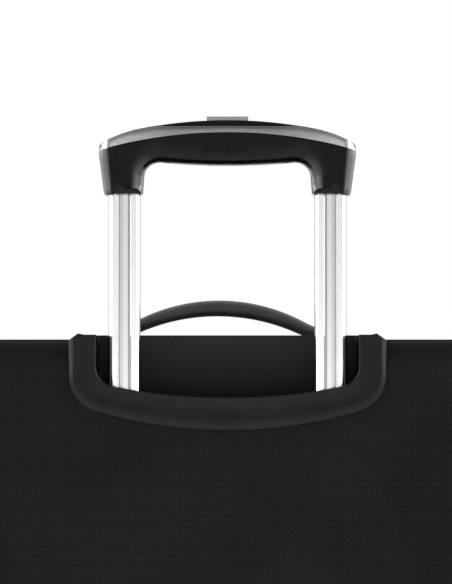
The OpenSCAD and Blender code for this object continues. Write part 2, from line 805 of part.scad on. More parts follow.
module release_bar() color("gray") {
  translate([-tube_x - 6, tube_y - 4, bar_z]) cube([2 * tube_x + 12, 8, bar_h]);
  translate([-6, tube_y - 4, bar_z + bar_h]) cube([12, 8, button_flange_z - bar_z - bar_h]);
}

module push_rods() color("gray") both_sides()
  translate([tube_x, tube_y, pin_z + 11]) cylinder(r = rod_r, h = bar_z - pin_z - 11);

module button_spring() color("gray")
  translate([0, tube_y, cavity_z + 0.7]) coil_spring(4, 0.5, 1.3, 3);

// ---- the whole case ----

back_shell();
gusset();
front_frame_rod();
lining();
tube_cover();
trolley_cup();
trolley_rim();
outer_tube_left();
outer_tube_right();
tube_bushes();
trolley_base();
wheel_housing_left();
wheel_housing_right();
axles();
foot_left();
foot_right();
case_screws();
body_zip();
hinge_strip();
top_handle_plates();
side_handle_plates();
inner_tube_left();
inner_tube_right();
tube_plugs();
pin_springs();
grip_body();
grip_band();
grip_insert();
grip_screws();
button_spring();
release_button();
release_bar();
push_rods();
lock_pin_left();
lock_pin_right();
tyre_left();
tyre_right();
wheel_hub_left();
wheel_hub_right();
bearings_left();
bearings_right();
lid_shell();
lid_frame_rod();
lid_lining();
lid_zip();
lid_piping();
large_pocket();
small_pocket();
pocket_zips();
main_slider_left();
main_pull_left();
main_slider_right();
main_pull_right();
large_pocket_slider();
large_pocket_pull();
small_pocket_slider();
small_pocket_pull();
top_handle();
side_handle();
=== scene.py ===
"""Looks of a softside upright suitcase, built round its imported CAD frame.

Lengths below are in millimetres, in the CAD's own frame, until make() turns them into metres.
"""
import json
import math

import bpy
import bmesh
import numpy as np
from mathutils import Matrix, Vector, noise
from mathutils.geometry import delaunay_2d_cdt


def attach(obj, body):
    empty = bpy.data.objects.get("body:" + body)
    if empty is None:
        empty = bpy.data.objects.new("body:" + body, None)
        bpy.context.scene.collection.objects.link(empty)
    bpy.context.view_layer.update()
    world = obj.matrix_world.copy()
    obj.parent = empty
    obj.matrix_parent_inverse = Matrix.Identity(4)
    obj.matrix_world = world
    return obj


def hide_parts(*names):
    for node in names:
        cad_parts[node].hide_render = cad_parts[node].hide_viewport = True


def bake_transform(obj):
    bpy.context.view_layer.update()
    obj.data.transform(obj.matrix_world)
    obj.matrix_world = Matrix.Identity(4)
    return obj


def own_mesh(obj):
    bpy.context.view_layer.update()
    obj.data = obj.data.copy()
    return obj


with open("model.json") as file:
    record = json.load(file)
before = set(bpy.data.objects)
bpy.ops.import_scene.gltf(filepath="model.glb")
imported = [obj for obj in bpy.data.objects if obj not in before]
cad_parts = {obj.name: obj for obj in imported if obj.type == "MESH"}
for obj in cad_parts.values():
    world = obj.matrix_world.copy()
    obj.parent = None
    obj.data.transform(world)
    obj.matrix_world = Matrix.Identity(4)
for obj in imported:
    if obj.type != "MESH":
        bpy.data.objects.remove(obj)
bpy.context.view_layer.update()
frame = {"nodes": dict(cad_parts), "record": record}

MM = 0.001
TAU = 2 * math.pi
SIDES = (("left", -1), ("right", 1))

# ---- sizes shared with the CAD ----

CASE_HALF_W = 220
CASE_HALF_H = 311
CASE_BOTTOM = 38
CASE_TOP = CASE_BOTTOM + 2 * CASE_HALF_H
MID_Z = CASE_BOTTOM + CASE_HALF_H
CORNER_R = 38
BACK_Y = 120
SEAM_Y = 95
BACK_EDGE_R = 20
BODY_FRONT_Y = -56
ZIP_Y = -61
LID_OPEN_Y = -66
LID_FACE_Y = -100
LID_EDGE_R = 12
WALL = 2.4

TUBE_X = 78
TUBE_Y = 100
TUBE_HALF_W = 12.5
SLEEVE_Z = 770
GRIP_HALF_D = 14
GRIP_HALF_W = 97.2

RIM_HALF_W = 119.4
MOUTH_HALF_W = 99
RIM_BACK_Y = 115.2
COLLAR_X = 107.4
COLLAR_Y = 82

LOCK_PIN_Z = 277
GRIP_SCREW_X = 45
GRIP_SCREW_Y = 7

POCKET_HALF_W = 192
POCKET_R = 22
LARGE_POCKET = {"z0": 68, "z1": 400, "depth": 24, "zip_z": 384}
SMALL_POCKET = {"z0": 424, "z1": 624, "depth": 17, "zip_z": 608}
POCKET_ZIP_HALF = 170

HANDLE_Y = 24
SIDE_HANDLE_Z = 360
WHEEL_X = 199
WHEEL_Y = 97
WHEEL_R = 32

# ---- materials ----


MATERIALS = {}


def colour(tone):
    """A colour given in full, or a grey given as one number."""
    return tone if isinstance(tone, tuple) else (tone, tone, tone)


class Nodes:
    """Short ways to add nodes to a tree."""

    def __init__(self, tree):
        self.tree = tree

    def put(self, target, value):
        if isinstance(value, bpy.types.NodeSocket):
            self.tree.links.new(value, target)
        else:
            target.default_value = value

    def math(self, operation, a, b=0.0, c=0.0):
        node = self.tree.nodes.new("ShaderNodeMath")
        node.operation = operation
        for target, value in zip(node.inputs, (a, b, c)):
            self.put(target, value)
        return node.outputs[0]

    def mix(self, factor, a, b):
        """a where factor is 0, b where it is 1."""
        return self.math("MULTIPLY_ADD", self.math("SUBTRACT", b, a), factor, a)

    def split(self, vector):
        node = self.tree.nodes.new("ShaderNodeSeparateXYZ")
        self.put(node.inputs[0], vector)
        return node.outputs

    def range(self, factor, low, high, start, end, kind="LINEAR"):
        node = self.tree.nodes.new("ShaderNodeMapRange")
        node.interpolation_type = kind
        for target, value in zip(node.inputs, (factor, low, high, start, end)):
            self.put(target, value)
        return node.outputs[0]


class Shader(Nodes):
    """A Principled material."""

    def __init__(self, name, tone, roughness, **inputs):
        self.mat = bpy.data.materials.new(name)
        MATERIALS[name] = self.mat
        self.mat.use_nodes = True
        super().__init__(self.mat.node_tree)
        self.bsdf = self.tree.nodes["Principled BSDF"]
        self.set("Base Color", (*colour(tone), 1))
        self.set("Roughness", roughness)
        for socket, value in inputs.items():
            self.set(socket.replace("_", " "), value)
        coordinates = self.tree.nodes.new("ShaderNodeTexCoord")
        self.place = coordinates.outputs["Object"]
        self.facing = coordinates.outputs["Normal"]

    def set(self, socket, value):
        self.put(self.bsdf.inputs[socket], value)

    def stretched(self, x, y, z):
        node = self.tree.nodes.new("ShaderNodeMapping")
        self.put(node.inputs["Vector"], self.place)
        node.inputs["Scale"].default_value = (x, y, z)
        return node.outputs[0]

    def noise(self, scale, detail=3.0, vector=None):
        node = self.tree.nodes.new("ShaderNodeTexNoise")
        self.put(node.inputs["Vector"], vector or self.place)
        node.inputs["Scale"].default_value = scale
        node.inputs["Detail"].default_value = detail
        return node.outputs["Fac"]

    def grains(self, scale):
        node = self.tree.nodes.new("ShaderNodeTexVoronoi")
        self.put(node.inputs["Vector"], self.place)
        node.inputs["Scale"].default_value = scale
        return node.outputs["Distance"]

    def between(self, factor, low, high, dark, light):
        """A colour that goes from dark to light as factor goes from low to high."""
        node = self.tree.nodes.new("ShaderNodeValToRGB")
        self.put(node.inputs[0], factor)
        for stop, place, tone in zip(node.color_ramp.elements, (low, high), (dark, light)):
            stop.position = place
            stop.color = (*colour(tone), 1)
        return node.outputs[0]

    def bump(self, height, depth_mm, strength=1.0, over=None):
        node = self.tree.nodes.new("ShaderNodeBump")
        node.inputs["Distance"].default_value = depth_mm * MM
        node.inputs["Strength"].default_value = strength
        self.put(node.inputs["Height"], height)
        if over is not None:
            self.put(node.inputs["Normal"], over)
        self.set("Normal", node.outputs[0])
        return node.outputs[0]

    def edges(self, low, high):
        """0 on flat places and 1 on edges that stand out."""
        node = self.tree.nodes.new("ShaderNodeNewGeometry")
        return self.range(node.outputs["Pointiness"], low, high, 0.0, 1.0)

    def flat_place(self, turn):
        """Two coordinates along the surface, turned by an angle, whichever way the cloth faces."""
        x, y, z = self.split(self.place)
        nx, _, nz = self.split(self.facing)
        side = self.math("GREATER_THAN", self.math("ABSOLUTE", nx), 0.62)
        top = self.math("GREATER_THAN", self.math("ABSOLUTE", nz), 0.62)
        u, v = self.mix(side, x, y), self.mix(top, z, y)
        c, s = math.cos(turn), math.sin(turn)
        a = self.math("MULTIPLY_ADD", u, c, self.math("MULTIPLY", v, s))
        b = self.math("MULTIPLY_ADD", u, -s, self.math("MULTIPLY", v, c))
        return a, b

    def weave(self, pitch_mm, turn=0.0):
        """A plain weave's height from 0 to 1, and which of the two threads is on top."""
        a, b = self.flat_place(turn)
        rate = math.pi / (pitch_mm * MM)
        wave_a = self.math("SINE", self.math("MULTIPLY", a, rate))
        wave_b = self.math("SINE", self.math("MULTIPLY", b, rate))
        upper = self.math("GREATER_THAN", self.math("MULTIPLY", wave_a, wave_b), 0.0)
        hump_a = self.math("ABSOLUTE", wave_a)
        hump_b = self.math("ABSOLUTE", wave_b)
        over = self.math("MULTIPLY", hump_a, self.math("POWER", hump_b, 0.4))
        under = self.math("MULTIPLY", hump_b, self.math("POWER", hump_a, 0.4))
        return self.mix(upper, over, under), upper


def cloth(name, dark, light, pitch_mm, turn=0.0, sheen=0.0):
    """Woven cloth: threads over and under, a slow change of tone, a little lint, and painted shade on faces
    that look up.
    """
    s = Shader(name, light, 0.82, Specular_IOR_Level=0.1, Sheen_Weight=sheen, Sheen_Roughness=0.55)
    height, upper = s.weave(pitch_mm, turn)
    tone = s.math("MULTIPLY", s.math("POWER", height, 1.3), s.mix(upper, 0.25, 1.0))
    slow = s.range(s.noise(9, 2.0), 0.35, 0.65, 0.85, 1.1)
    fibre = s.range(s.noise(900, 2.0), 0.4, 0.8, 0.75, 1.25)
    # Painted shade: cloth that faces up is painted darker.
    painted_top_shade = s.range(s.split(s.facing)[2], 0.1, 0.6, 1.0, 0.6)
    shade = s.math("MULTIPLY", s.math("MULTIPLY", tone, slow), s.math("MULTIPLY", fibre, painted_top_shade))
    s.set("Base Color", s.between(shade, 0.05, 1, dark, light))
    s.set("Roughness", s.range(height, 0.0, 1.0, 0.95, 0.7))
    soft = s.bump(s.noise(28, 3.0), 0.8, 0.25)
    s.bump(height, 0.16, 0.8, over=soft)


def moulded(name, dark, light, roughness, grain_scale=1400, grain_mm=0.035, worn=1, gloss=0.3, edge_gloss=0):
    """Moulded plastic or rubber: fine spark grain, paler edges and faint handling marks."""
    s = Shader(name, light, roughness, Specular_IOR_Level=gloss)
    if edge_gloss:
        nx = s.math("ABSOLUTE", s.split(s.facing)[0])
        s.set("Specular IOR Level", s.range(nx, 0.15, 0.6, gloss, edge_gloss))
    marks = s.range(s.noise(45, 5.0), 0.45, 0.75, 0.0, 0.6)
    edge = s.math("MULTIPLY", s.edges(0.52, 0.6), worn)
    wear = s.math("ADD", s.math("MULTIPLY", marks, 0.4), edge)
    s.set("Base Color", s.between(wear, 0, 1, dark, light))
    s.set("Roughness", s.range(s.noise(160, 3.0), 0.3, 0.7, roughness - 0.06, roughness + 0.08))
    wavy = s.bump(s.noise(30, 2.0), 0.25, 0.25)
    s.bump(s.grains(grain_scale), grain_mm, 0.6, over=wavy)


def brushed(name, tone, roughness, contrast=0.10, fine=900):
    """Brushed or drawn metal, its lines along X."""
    s = Shader(name, tone, roughness, Metallic=1.0)
    lines = s.noise(fine, 2.0, s.stretched(0.012, 1.0, 1.0))
    dim = tuple(c * (1 - contrast) for c in colour(tone))
    uneven = s.math("ADD", lines, s.range(s.noise(14, 3.0), 0.3, 0.7, -0.1, 0.1))
    s.set("Base Color", s.between(uneven, 0.3, 0.7, dim, tone))
    s.set("Roughness", s.range(lines, 0.3, 0.7, roughness - 0.05, roughness + 0.07))
    s.bump(lines, 0.012, 0.35)


def drawn_tube(name, painted_bands):
    """A drawn tube with painted light in its colour: painted bands across its face, each a place from the
    middle line (mm) and a tone, stand for its reflections, with painted shade in the flutes and at the edges.
    """
    s = Shader(name, 0.9, 0.16, Metallic=1.0)
    across = s.math("SUBTRACT", s.math("ABSOLUTE", s.split(s.place)[0]), TUBE_X * MM)
    ramp = s.tree.nodes.new("ShaderNodeValToRGB")
    s.put(ramp.inputs[0], s.range(across, -TUBE_HALF_W * MM, TUBE_HALF_W * MM, 0.0, 1.0))
    stops = ramp.color_ramp.elements
    while len(stops) < len(painted_bands):
        stops.new(0.5)
    for stop, (place, tone) in zip(stops, painted_bands):
        stop.position = (place + TUBE_HALF_W) / (2 * TUBE_HALF_W)
        stop.color = (*colour(tone), 1)
    # Painted shade: faces that turn sideways, and faces that look towards the case's front, are painted
    # darker.
    nx, ny, _ = s.split(s.facing)
    painted_turned_edge_shade = s.range(s.math("ABSOLUTE", nx), 0.64, 0.82, 1.0, 0.18)
    painted_far_side_shade = s.range(ny, -0.5, 0.2, 0.6, 1.0)
    lines = s.range(s.noise(700, 2.0, s.stretched(1.0, 1.0, 0.004)), 0.3, 0.7, 0.97, 1.0)
    shade = s.math("MULTIPLY", s.split(ramp.outputs[0])[0], s.math("MULTIPLY", painted_turned_edge_shade, painted_far_side_shade))
    shade = s.math("MULTIPLY", shade, lines)
    s.set("Base Color", s.between(shade, 0, 1, 0, 1))


def graded(name, axis, low, high, start, end, roughness, metallic=0.0, gloss=0.2, lines=0.0):
    """A finish with painted light: its tone runs from start to end as the distance along an axis runs from
    low to high (mm).
    """
    s = Shader(name, end, roughness, Metallic=metallic, Specular_IOR_Level=gloss)
    far = s.math("ABSOLUTE", s.split(s.place)[axis])
    shade = s.range(far, low * MM, high * MM, start, end)
    drawn = s.noise(1500, 2.0, s.stretched(0.012, 1.0, 1.0))
    shade = s.math("MULTIPLY", shade, s.range(drawn, 0.3, 0.7, 1 - lines, 1.0))
    s.set("Base Color", s.between(shade, 0, 1, 0, 1))
    if not metallic:
        s.bump(s.grains(1400), 0.03, 0.5)


def leatherette(name, dark, light):
    """Pebbled handle covering."""
    s = Shader(name, light, 0.5, Specular_IOR_Level=0.5, Sheen_Weight=0.08)
    pebbles = s.grains(620)
    wear = s.range(s.noise(36, 4.0), 0.4, 0.75, 0.0, 0.7)
    shade = s.math("ADD", s.math("MULTIPLY", pebbles, 0.5), wear)
    s.set("Base Color", s.between(shade, 0.1, 1.0, dark, light))
    s.set("Roughness", s.range(pebbles, 0.0, 0.6, 0.42, 0.6))
    rough = s.bump(s.noise(240, 4.0), 0.12, 0.5)
    s.bump(pebbles, 0.1, 0.7, over=rough)


cloth("case_cloth", 0.0001, (0.0235, 0.0235, 0.0239), 1.3)
cloth("lining_cloth", (0.035, 0.036, 0.04), (0.10, 0.102, 0.112), 0.5, sheen=0.25)
cloth("cover_board", (0.03, 0.031, 0.034), (0.085, 0.087, 0.095), 0.5, sheen=0.2)
cloth("webbing", 0.003, 0.022, 1.5, math.radians(45), 0.05)
cloth("thread", 0.004, 0.05, 0.35, 0.6, 0.1)
moulded("moulded_plastic", (0.0024, 0.0024, 0.0025), (0.0095, 0.0095, 0.0097), 0.31, gloss=0.16)
moulded("nylon_plastic", 0.012, 0.035, 0.42)
moulded("white_nylon", (0.55, 0.55, 0.53), (0.75, 0.75, 0.73), 0.4, worn=0.4)
moulded("zip_coil", 0.008, 0.04, 0.35, 3000, 0.01)
moulded("grip_rubber", 0.0006, 0.0036, 0.24, 2200, 0.02, 0.6, 0.15, 0.55)
moulded("tyre", 0.012, 0.05, 0.62, 900, 0.06)
moulded("wheel_plastic", (0.05, 0.05, 0.052), (0.12, 0.12, 0.125), 0.42)
moulded("moulded_plastic_flat", 0.0055, 0.0095, 0.33, worn=0.0, gloss=0.2)
moulded("grip_rubber_flat", 0.003, 0.006, 0.27, worn=0.0, gloss=0.2)
moulded("nylon_plastic_flat", 0.010, 0.022, 0.42, worn=0.0, gloss=0.2)
moulded("wheel_plastic_flat", 0.05, 0.09, 0.42, worn=0.0, gloss=0.2)
leatherette("handle_rubber", 0.004, 0.02)
brushed("zip_metal", (0.22, 0.22, 0.225), 0.3, 0.3)
brushed("steel", (0.55, 0.55, 0.56), 0.3, 0.15)
brushed("frame_steel", (0.3, 0.3, 0.31), 0.4, 0.25)
brushed("dark_screw", 0.12, 0.35, 0.2)
brushed("smooth_silver", 0.33, 0.26, 0.06, 1500)
# Painted reflections and shade: bright outer bands, a grey land, and dark flutes and edges.
drawn_tube("tube_aluminium", (
    (-12.5, 0.5), (-11.7, 0.95), (-5.1, 0.95), (-4.5, 0.45), (-3.3, 0.45), (-2.5, 0.8), (-0.2, 0.84),
    (1.4, 0.66), (5.0, 0.6), (5.8, 0.95), (11.7, 0.95), (12.5, 0.5)))
# Painted highlight: the band's colour is painted brighter towards its ends.
graded("band_aluminium", 0, 40, 96, 0.165, 0.34, 0.28, metallic=1.0, lines=0.25)
# Painted shade: the cup wall's colour is painted darker towards its foot.
graded("cup_plastic", 2, 618, 660, 0.0015, 0.0115, 0.45, gloss=0.12)

# ---- mesh helpers ----


def loft(rings, wrap=False):
    """Walls between closed rings of equally many points. wrap also joins the last ring to the first."""
    count = len(rings[0])
    faces = []
    for i in range(len(rings) if wrap else len(rings) - 1):
        low, high = i * count, (i + 1) % len(rings) * count
        faces += [(low + j, low + (j + 1) % count, high + (j + 1) % count, high + j) for j in range(count)]
    return np.concatenate([np.asarray(r, float) for r in rings]), faces


def solid(rings):
    """A loft closed by a flat face at both ends."""
    points, faces = loft(rings)
    count = len(rings[0])
    faces.append(tuple(reversed(range(count))))
    faces.append(tuple(range(len(points) - count, len(points))))
    return points, faces


def joined(parts):
    points, faces = [], []
    start = 0
    for part_points, part_faces in parts:
        points.append(np.asarray(part_points, float))
        faces += [tuple(start + i for i in f) for f in part_faces]
        start += len(part_points)
    return np.concatenate(points), faces


def mirrored(part):
    points, faces = part
    return np.asarray(points, float) * (-1, 1, 1), [tuple(reversed(f)) for f in faces]


def linked(name, mesh):
    obj = bpy.data.objects.new(name, mesh)
    bpy.context.scene.collection.objects.link(obj)
    return obj


def make(name, parts, slot, body=None, replaces=(), sharp=35, bevel=0, shell=0, material=None, weld=False):
    """Makes a piece from parts in millimetres, and says what it rides on and stands for."""
    points, faces = joined(parts)
    mesh = bpy.data.meshes.new(name)
    mesh.from_pydata((points * MM).tolist(), [], faces)
    build = bmesh.new()
    build.from_mesh(mesh)
    if weld:
        bmesh.ops.remove_doubles(build, verts=build.verts, dist=2e-5)
    bmesh.ops.recalc_face_normals(build, faces=build.faces)
    build.to_mesh(mesh)
    build.free()
    obj = linked(name, mesh)
    mesh.materials.append(MATERIALS[material or slot])
    if shell:
        thick = obj.modifiers.new("shell", "SOLIDIFY")
        thick.thickness = shell * MM
        thick.offset = -1
        bake(obj)
    if bevel:
        round_edges(obj, bevel)
    smooth(obj, sharp)
    settle(obj, body, replaces)
    return obj


def settle(obj, body, replaces):
    if body:
        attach(obj, body)
    if replaces:
        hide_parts(*replaces)


def smooth(obj, sharp):
    obj.data.shade_smooth()
    obj.data.set_sharp_from_angle(angle=math.radians(sharp))


def round_edges(obj, width, segments=2):
    bevel = obj.modifiers.new("round", "BEVEL")
    bevel.width = width * MM
    bevel.segments = segments
    bevel.limit_method = "ANGLE"
    bevel.angle_limit = math.radians(32)
    bevel.harden_normals = False


def bake(obj):
    """Puts what the modifiers give into the mesh."""
    bpy.context.view_layer.update()
    shown = obj.evaluated_get(bpy.context.evaluated_depsgraph_get())
    baked = bpy.data.meshes.new_from_object(shown)
    obj.modifiers.clear()
    obj.data = baked


def cut(obj, cutters):
    """Takes closed parts, in millimetres, out of a piece."""
    tools = []
    for part in cutters:
        tool = make("cutter", [part], "steel")
        tools.append(tool)
        step = obj.modifiers.new("cut", "BOOLEAN")
        step.operation = "DIFFERENCE"
        step.solver = "EXACT"
        step.object = tool
    bake(obj)
    for tool in tools:
        bpy.data.objects.remove(tool)


def finish_cut(obj, cutters, body, replaces=(), sharp=50):
    """Cuts a piece that was made without a body, and then puts it on one."""
    cut(obj, cutters)
    smooth(obj, sharp)
    settle(obj, body, replaces)


def even(slot):
    """The finish without worn edges, for a mesh of few faces."""
    return slot + "_flat" if slot + "_flat" in MATERIALS else slot


def softened(node, name, slot, body, width, segments=2, material=None):
    """A finer copy of a hard CAD node, its edges rounded."""
    obj = linked(name, frame["nodes"][node].data.copy())
    obj.data.materials.clear()
    obj.data.materials.append(MATERIALS[material or even(slot)])
    build = bmesh.new()
    build.from_mesh(obj.data)
    bmesh.ops.remove_doubles(build, verts=build.verts, dist=2e-6)
    bmesh.ops.dissolve_limit(build, angle_limit=math.radians(0.6), verts=build.verts, edges=build.edges)
    build.to_mesh(obj.data)
    build.free()
    for polygon in obj.data.polygons:
        polygon.material_index = 0
    round_edges(obj, width, segments)
    smooth(obj, 35)
    settle(obj, body, [node])
    return obj


# ---- outlines ----


def turns(count):
    """Even angles round a circle."""
    return np.arange(count) * TAU / count


def rounded_loop(half_w, half_h, r, arcs, steps):
    """Points round a rounded rectangle centred on the origin, counter-clockwise."""
    r = max(r, 0.05)
    cx, cz = half_w - r, half_h - r
    signs = [(1, 1), (-1, 1), (-1, -1), (1, -1)]
    loop = []
    for quarter, (sx, sz) in enumerate(signs):
        start = math.pi / 2 * quarter
        for i in range(arcs):
            a = start + math.pi / 2 * i / arcs
            loop.append((sx * cx + r * math.cos(a), sz * cz + r * math.sin(a)))
        end = start + math.pi / 2
        nx, nz = signs[(quarter + 1) % 4]
        p = np.array((sx * cx + r * math.cos(end), sz * cz + r * math.sin(end)))
        q = np.array((nx * cx + r * math.cos(end), nz * cz + r * math.sin(end)))
        count = steps[quarter % 2]
        loop += [tuple(p + (q - p) * i / count) for i in range(count)]
    return np.array(loop)


CASE_ARCS = 10
CASE_STEPS = (48, 72)


def case_loop(inset):
    """The case's outline in the back view, moved inwards by inset."""
    loop = rounded_loop(CASE_HALF_W - inset, CASE_HALF_H - inset, CORNER_R - inset, CASE_ARCS, CASE_STEPS)
    return loop + (0, MID_Z)


def upright(loop, y):
    """A drawing of the back view, as points at depth y."""
    return np.column_stack([loop[:, 0], np.broadcast_to(y, len(loop)), loop[:, 1]])


def level(loop, z):
    """A drawing of the top view, as points at height z."""
    return np.column_stack([loop[:, 0], loop[:, 1], np.broadcast_to(z, len(loop))])


def circle(r):
    return np.array([(r * math.cos(a), r * math.sin(a)) for a in turns(20)])


def arc(cx, cz, r, start, end, count):
    angles = np.radians(np.linspace(start, end, count + 1))
    return [(cx + r * math.cos(a), cz + r * math.sin(a)) for a in angles]


def both(half):
    return np.array(half + [(-x, z) for x, z in reversed(half)])


def bowl_half(half_w, drop, r, arc_r, grow):
    """The right half of the broad bowl shape of the cup's mouth and rim, below the case top."""
    cy = arc_r - drop
    cx = half_w - r
    cz = cy - math.sqrt((arc_r - r) ** 2 - cx * cx)
    join = math.degrees(math.atan2(cz - cy, cx))
    return arc(0, cy, arc_r + grow, -90, join, 16)[1:] + arc(cx, cz, r + grow, join, 0, 16)[1:]


def rim_half(grow):
    return bowl_half(RIM_HALF_W, 67.5, 28, 357, grow)


def mouth_half():
    return bowl_half(MOUTH_HALF_W, 42.7, 16, 449, 0)


def inside(points, loop):
    """Which points lie inside a closed outline."""
    x, z = points[:, 0], points[:, 1]
    hit = np.zeros(len(points), bool)
    for (x0, z0), (x1, z1) in zip(loop, np.roll(loop, -1, axis=0)):
        if z0 == z1:
            continue
        crosses = (z0 > z) != (z1 > z)
        hit ^= crosses & (x < (x1 - x0) * (z - z0) / (z1 - z0) + x0)
    return hit


def clearance(points, loop):
    """The distance of each point from an outline."""
    best = np.full(len(points), 1e9)
    for a, b in zip(loop, np.roll(loop, -1, axis=0)):
        d = b - a
        t = np.clip(((points - a) @ d) / max(d @ d, 1e-9), 0, 1)
        best = np.minimum(best, np.linalg.norm(points - a - t[:, None] * d, axis=1))
    return best


def filled(loop, spacing):
    """Even triangles over the area in an outline: its points in the flat, and the faces."""
    low, high = loop.min(0), loop.max(0)
    xs = np.arange(low[0] + spacing / 2, high[0], spacing)
    zs = np.arange(low[1] + spacing / 2, high[1], spacing)
    grid = np.array([(x + (j % 2) * spacing / 2, z) for j, z in enumerate(zs) for x in xs])
    grid = grid[inside(grid, loop)]
    grid = grid[clearance(grid, loop) > spacing * 0.55]
    count = len(loop)
    points = [Vector(p) for p in np.vstack([loop, grid])]
    edges = [(i, (i + 1) % count) for i in range(count)]
    made = delaunay_2d_cdt(points, edges, [], 1, 1e-6)
    return np.array([tuple(p) for p in made[0]]), [tuple(f) for f in made[2]]


def ripple(points, size, height, seed):
    """Seeded unevenness of cloth: a value for each point, up to about height either way."""
    shift = Vector((seed * 17.3, seed * 5.1, seed * 9.7))
    return np.array([noise.fractal(Vector(p) / size + shift, 0.8, 2.0, 3) for p in points]) * height


def smoothstep(x, low, high):
    t = np.clip((np.asarray(x, float) - low) / (high - low), 0, 1)
    return t * t * (3 - 2 * t)


def edge_profile(er, t):
    """Inset and depth along a rounded edge of radius er, at share t of its arc."""
    a = math.pi / 2 * t
    return er * (1 - math.cos(a)), er * math.sin(a)


# ---- seams, stitches and sweeps ----


def tube_along(path, radius, closed=False):
    """A round cord along points."""
    path = np.asarray(path, float)
    ahead = np.roll(path, -1, axis=0) - np.roll(path, 1, axis=0)
    if not closed:
        ahead[0] = path[1] - path[0]
        ahead[-1] = path[-1] - path[-2]
    ahead /= np.linalg.norm(ahead, axis=1)[:, None]
    rings = []
    normal = np.cross(ahead[0], (0.31, 0.87, 0.22))
    for point, direction in zip(path, ahead):
        normal = normal - direction * (normal @ direction)
        normal /= np.linalg.norm(normal)
        other = np.cross(direction, normal)
        rings.append([point + radius * (math.cos(a) * normal + math.sin(a) * other) for a in turns(8)])
    return loft(rings, wrap=True) if closed else solid(rings)


def spaced(path, gap, closed=False):
    """Points every gap along a line, with the line's direction at each."""
    path = np.asarray(path, float)
    if closed:
        path = np.vstack([path, path[:1]])
    steps = np.linalg.norm(np.diff(path, axis=0), axis=1)
    run = np.concatenate([[0], np.cumsum(steps)])
    count = max(int(run[-1] / gap), 2)
    places = (np.arange(count) + 0.5) * run[-1] / count

    def at(where):
        return np.column_stack([np.interp(where, run, path[:, i]) for i in range(3)])

    ahead = at(places + gap / 4) - at(places - gap / 4)
    return at(places), ahead / np.linalg.norm(ahead, axis=1)[:, None]


def one_stitch(point, direction, out, length=2.5, thick=0.42):
    """A little arch of thread on a surface that looks along out."""
    side = np.cross(direction, out)
    rings = []
    for t, size in ((-1, 0.45), (-0.55, 1.0), (0.55, 1.0), (1, 0.45)):
        middle = point + direction * t * length / 2 + out * thick * (0.5 * size - 0.2)
        rings.append([middle + thick * size * (side * math.cos(a) + out * 0.7 * math.sin(a))
                      for a in turns(6)])
    return solid(rings)


def stitches(path, up, gap=3.6, length=2.5, thick=0.42):
    """A row of thread stitches along a line, each standing out along up."""
    at, ahead = spaced(path, gap)
    ups = np.broadcast_to(up, at.shape)
    return joined([one_stitch(*place, length, thick) for place in zip(at, ahead, ups)])


# ---- cloth simulation of stuffed pieces ----


def inflated(obj, voxel, pressure, cap, hold):
    """Blows a closed piece up a little with Cloth. hold gives each point's share, 0 to 1, of staying put."""
    remesh = obj.modifiers.new("remesh", "REMESH")
    remesh.mode = "VOXEL"
    remesh.voxel_size = voxel * MM
    bake(obj)
    mesh = obj.data
    rest = np.array([v.co for v in mesh.vertices])
    held = hold(rest / MM)
    scene = bpy.context.scene
    group = obj.vertex_groups.new(name="held")
    for i in np.flatnonzero(held > 0.01):
        group.add([int(i)], float(held[i]), "REPLACE")
    step = obj.modifiers.new("cloth", "CLOTH")
    settings = step.settings
    settings.vertex_group_mass = "held"
    settings.quality = 5
    settings.mass = 0.3
    settings.tension_stiffness = settings.compression_stiffness = 25
    settings.shear_stiffness = 10
    settings.bending_stiffness = 2.5
    settings.use_pressure = True
    settings.uniform_pressure_force = pressure
    settings.effector_weights.gravity = 0
    step.collision_settings.use_collision = False
    for tick in range(1, 21):
        scene.frame_set(tick)
    shown = obj.evaluated_get(bpy.context.evaluated_depsgraph_get())
    moved = np.array([v.co for v in shown.data.vertices]) - rest
    obj.modifiers.clear()
    obj.vertex_groups.clear()
    scene.frame_set(1)
    far = np.linalg.norm(moved, axis=1)
    share = np.minimum(1, cap * MM / np.maximum(far, 1e-9))
    rest = rest + moved * share[:, None] * (1 - held)[:, None]
    mesh.vertices.foreach_set("co", rest.ravel())
    mesh.update()


def reshaped(obj, change):
    """Moves a piece's points, which change takes and gives in millimetres."""
    points = np.array([v.co for v in obj.data.vertices]) / MM
    obj.data.vertices.foreach_set("co", (change(points) * MM).ravel())
    obj.data.update()


def refined(obj):
    step = obj.modifiers.new("finer", "SUBSURF")
    step.levels = step.render_levels = 1
    bake(obj)


# ---- fabric case ----


def housing_tool(grow):
    """The wheel housing's room in the cloth, at the right."""
    loop = rounded_loop(31 + grow, 36 + grow, 14 + grow, 8, (3, 3)) + (91, 66)
    return solid([np.column_stack([np.full(len(loop), x), loop]) for x in (178 - grow, 240)])


def housing_tools(grow):
    return [housing_tool(grow), mirrored(housing_tool(grow))]


def block(low, high):
    loop = np.array([(low[0], low[1]), (high[0], low[1]), (high[0], high[1]), (low[0], high[1])], float)
    return solid([level(loop, low[2]), level(loop, high[2])])


def handle_tools():
    """Room in the lining for the feet of the two carry handles."""
    tools = [block((x - 8, 9, 640), (x + 8, 39, 664)) for x in (-80, 80)]
    tools += [block((200, 9, SIDE_HANDLE_Z + z - 8), (224, 39, SIDE_HANDLE_Z + z + 8)) for z in (-80, 80)]
    return tools


def tray_rings(mouth_y, edge_y, sign, er, inset):
    """Rings from a mouth along the wall and round the soft edge. sign is the way the flat face looks."""
    rings = [(inset, y) for y in np.linspace(mouth_y, edge_y, 10)[:-1]]
    for i in range(11):
        shift, rise = edge_profile(er, i / 10)
        rings.append((inset + shift, edge_y + sign * rise))
    return rings


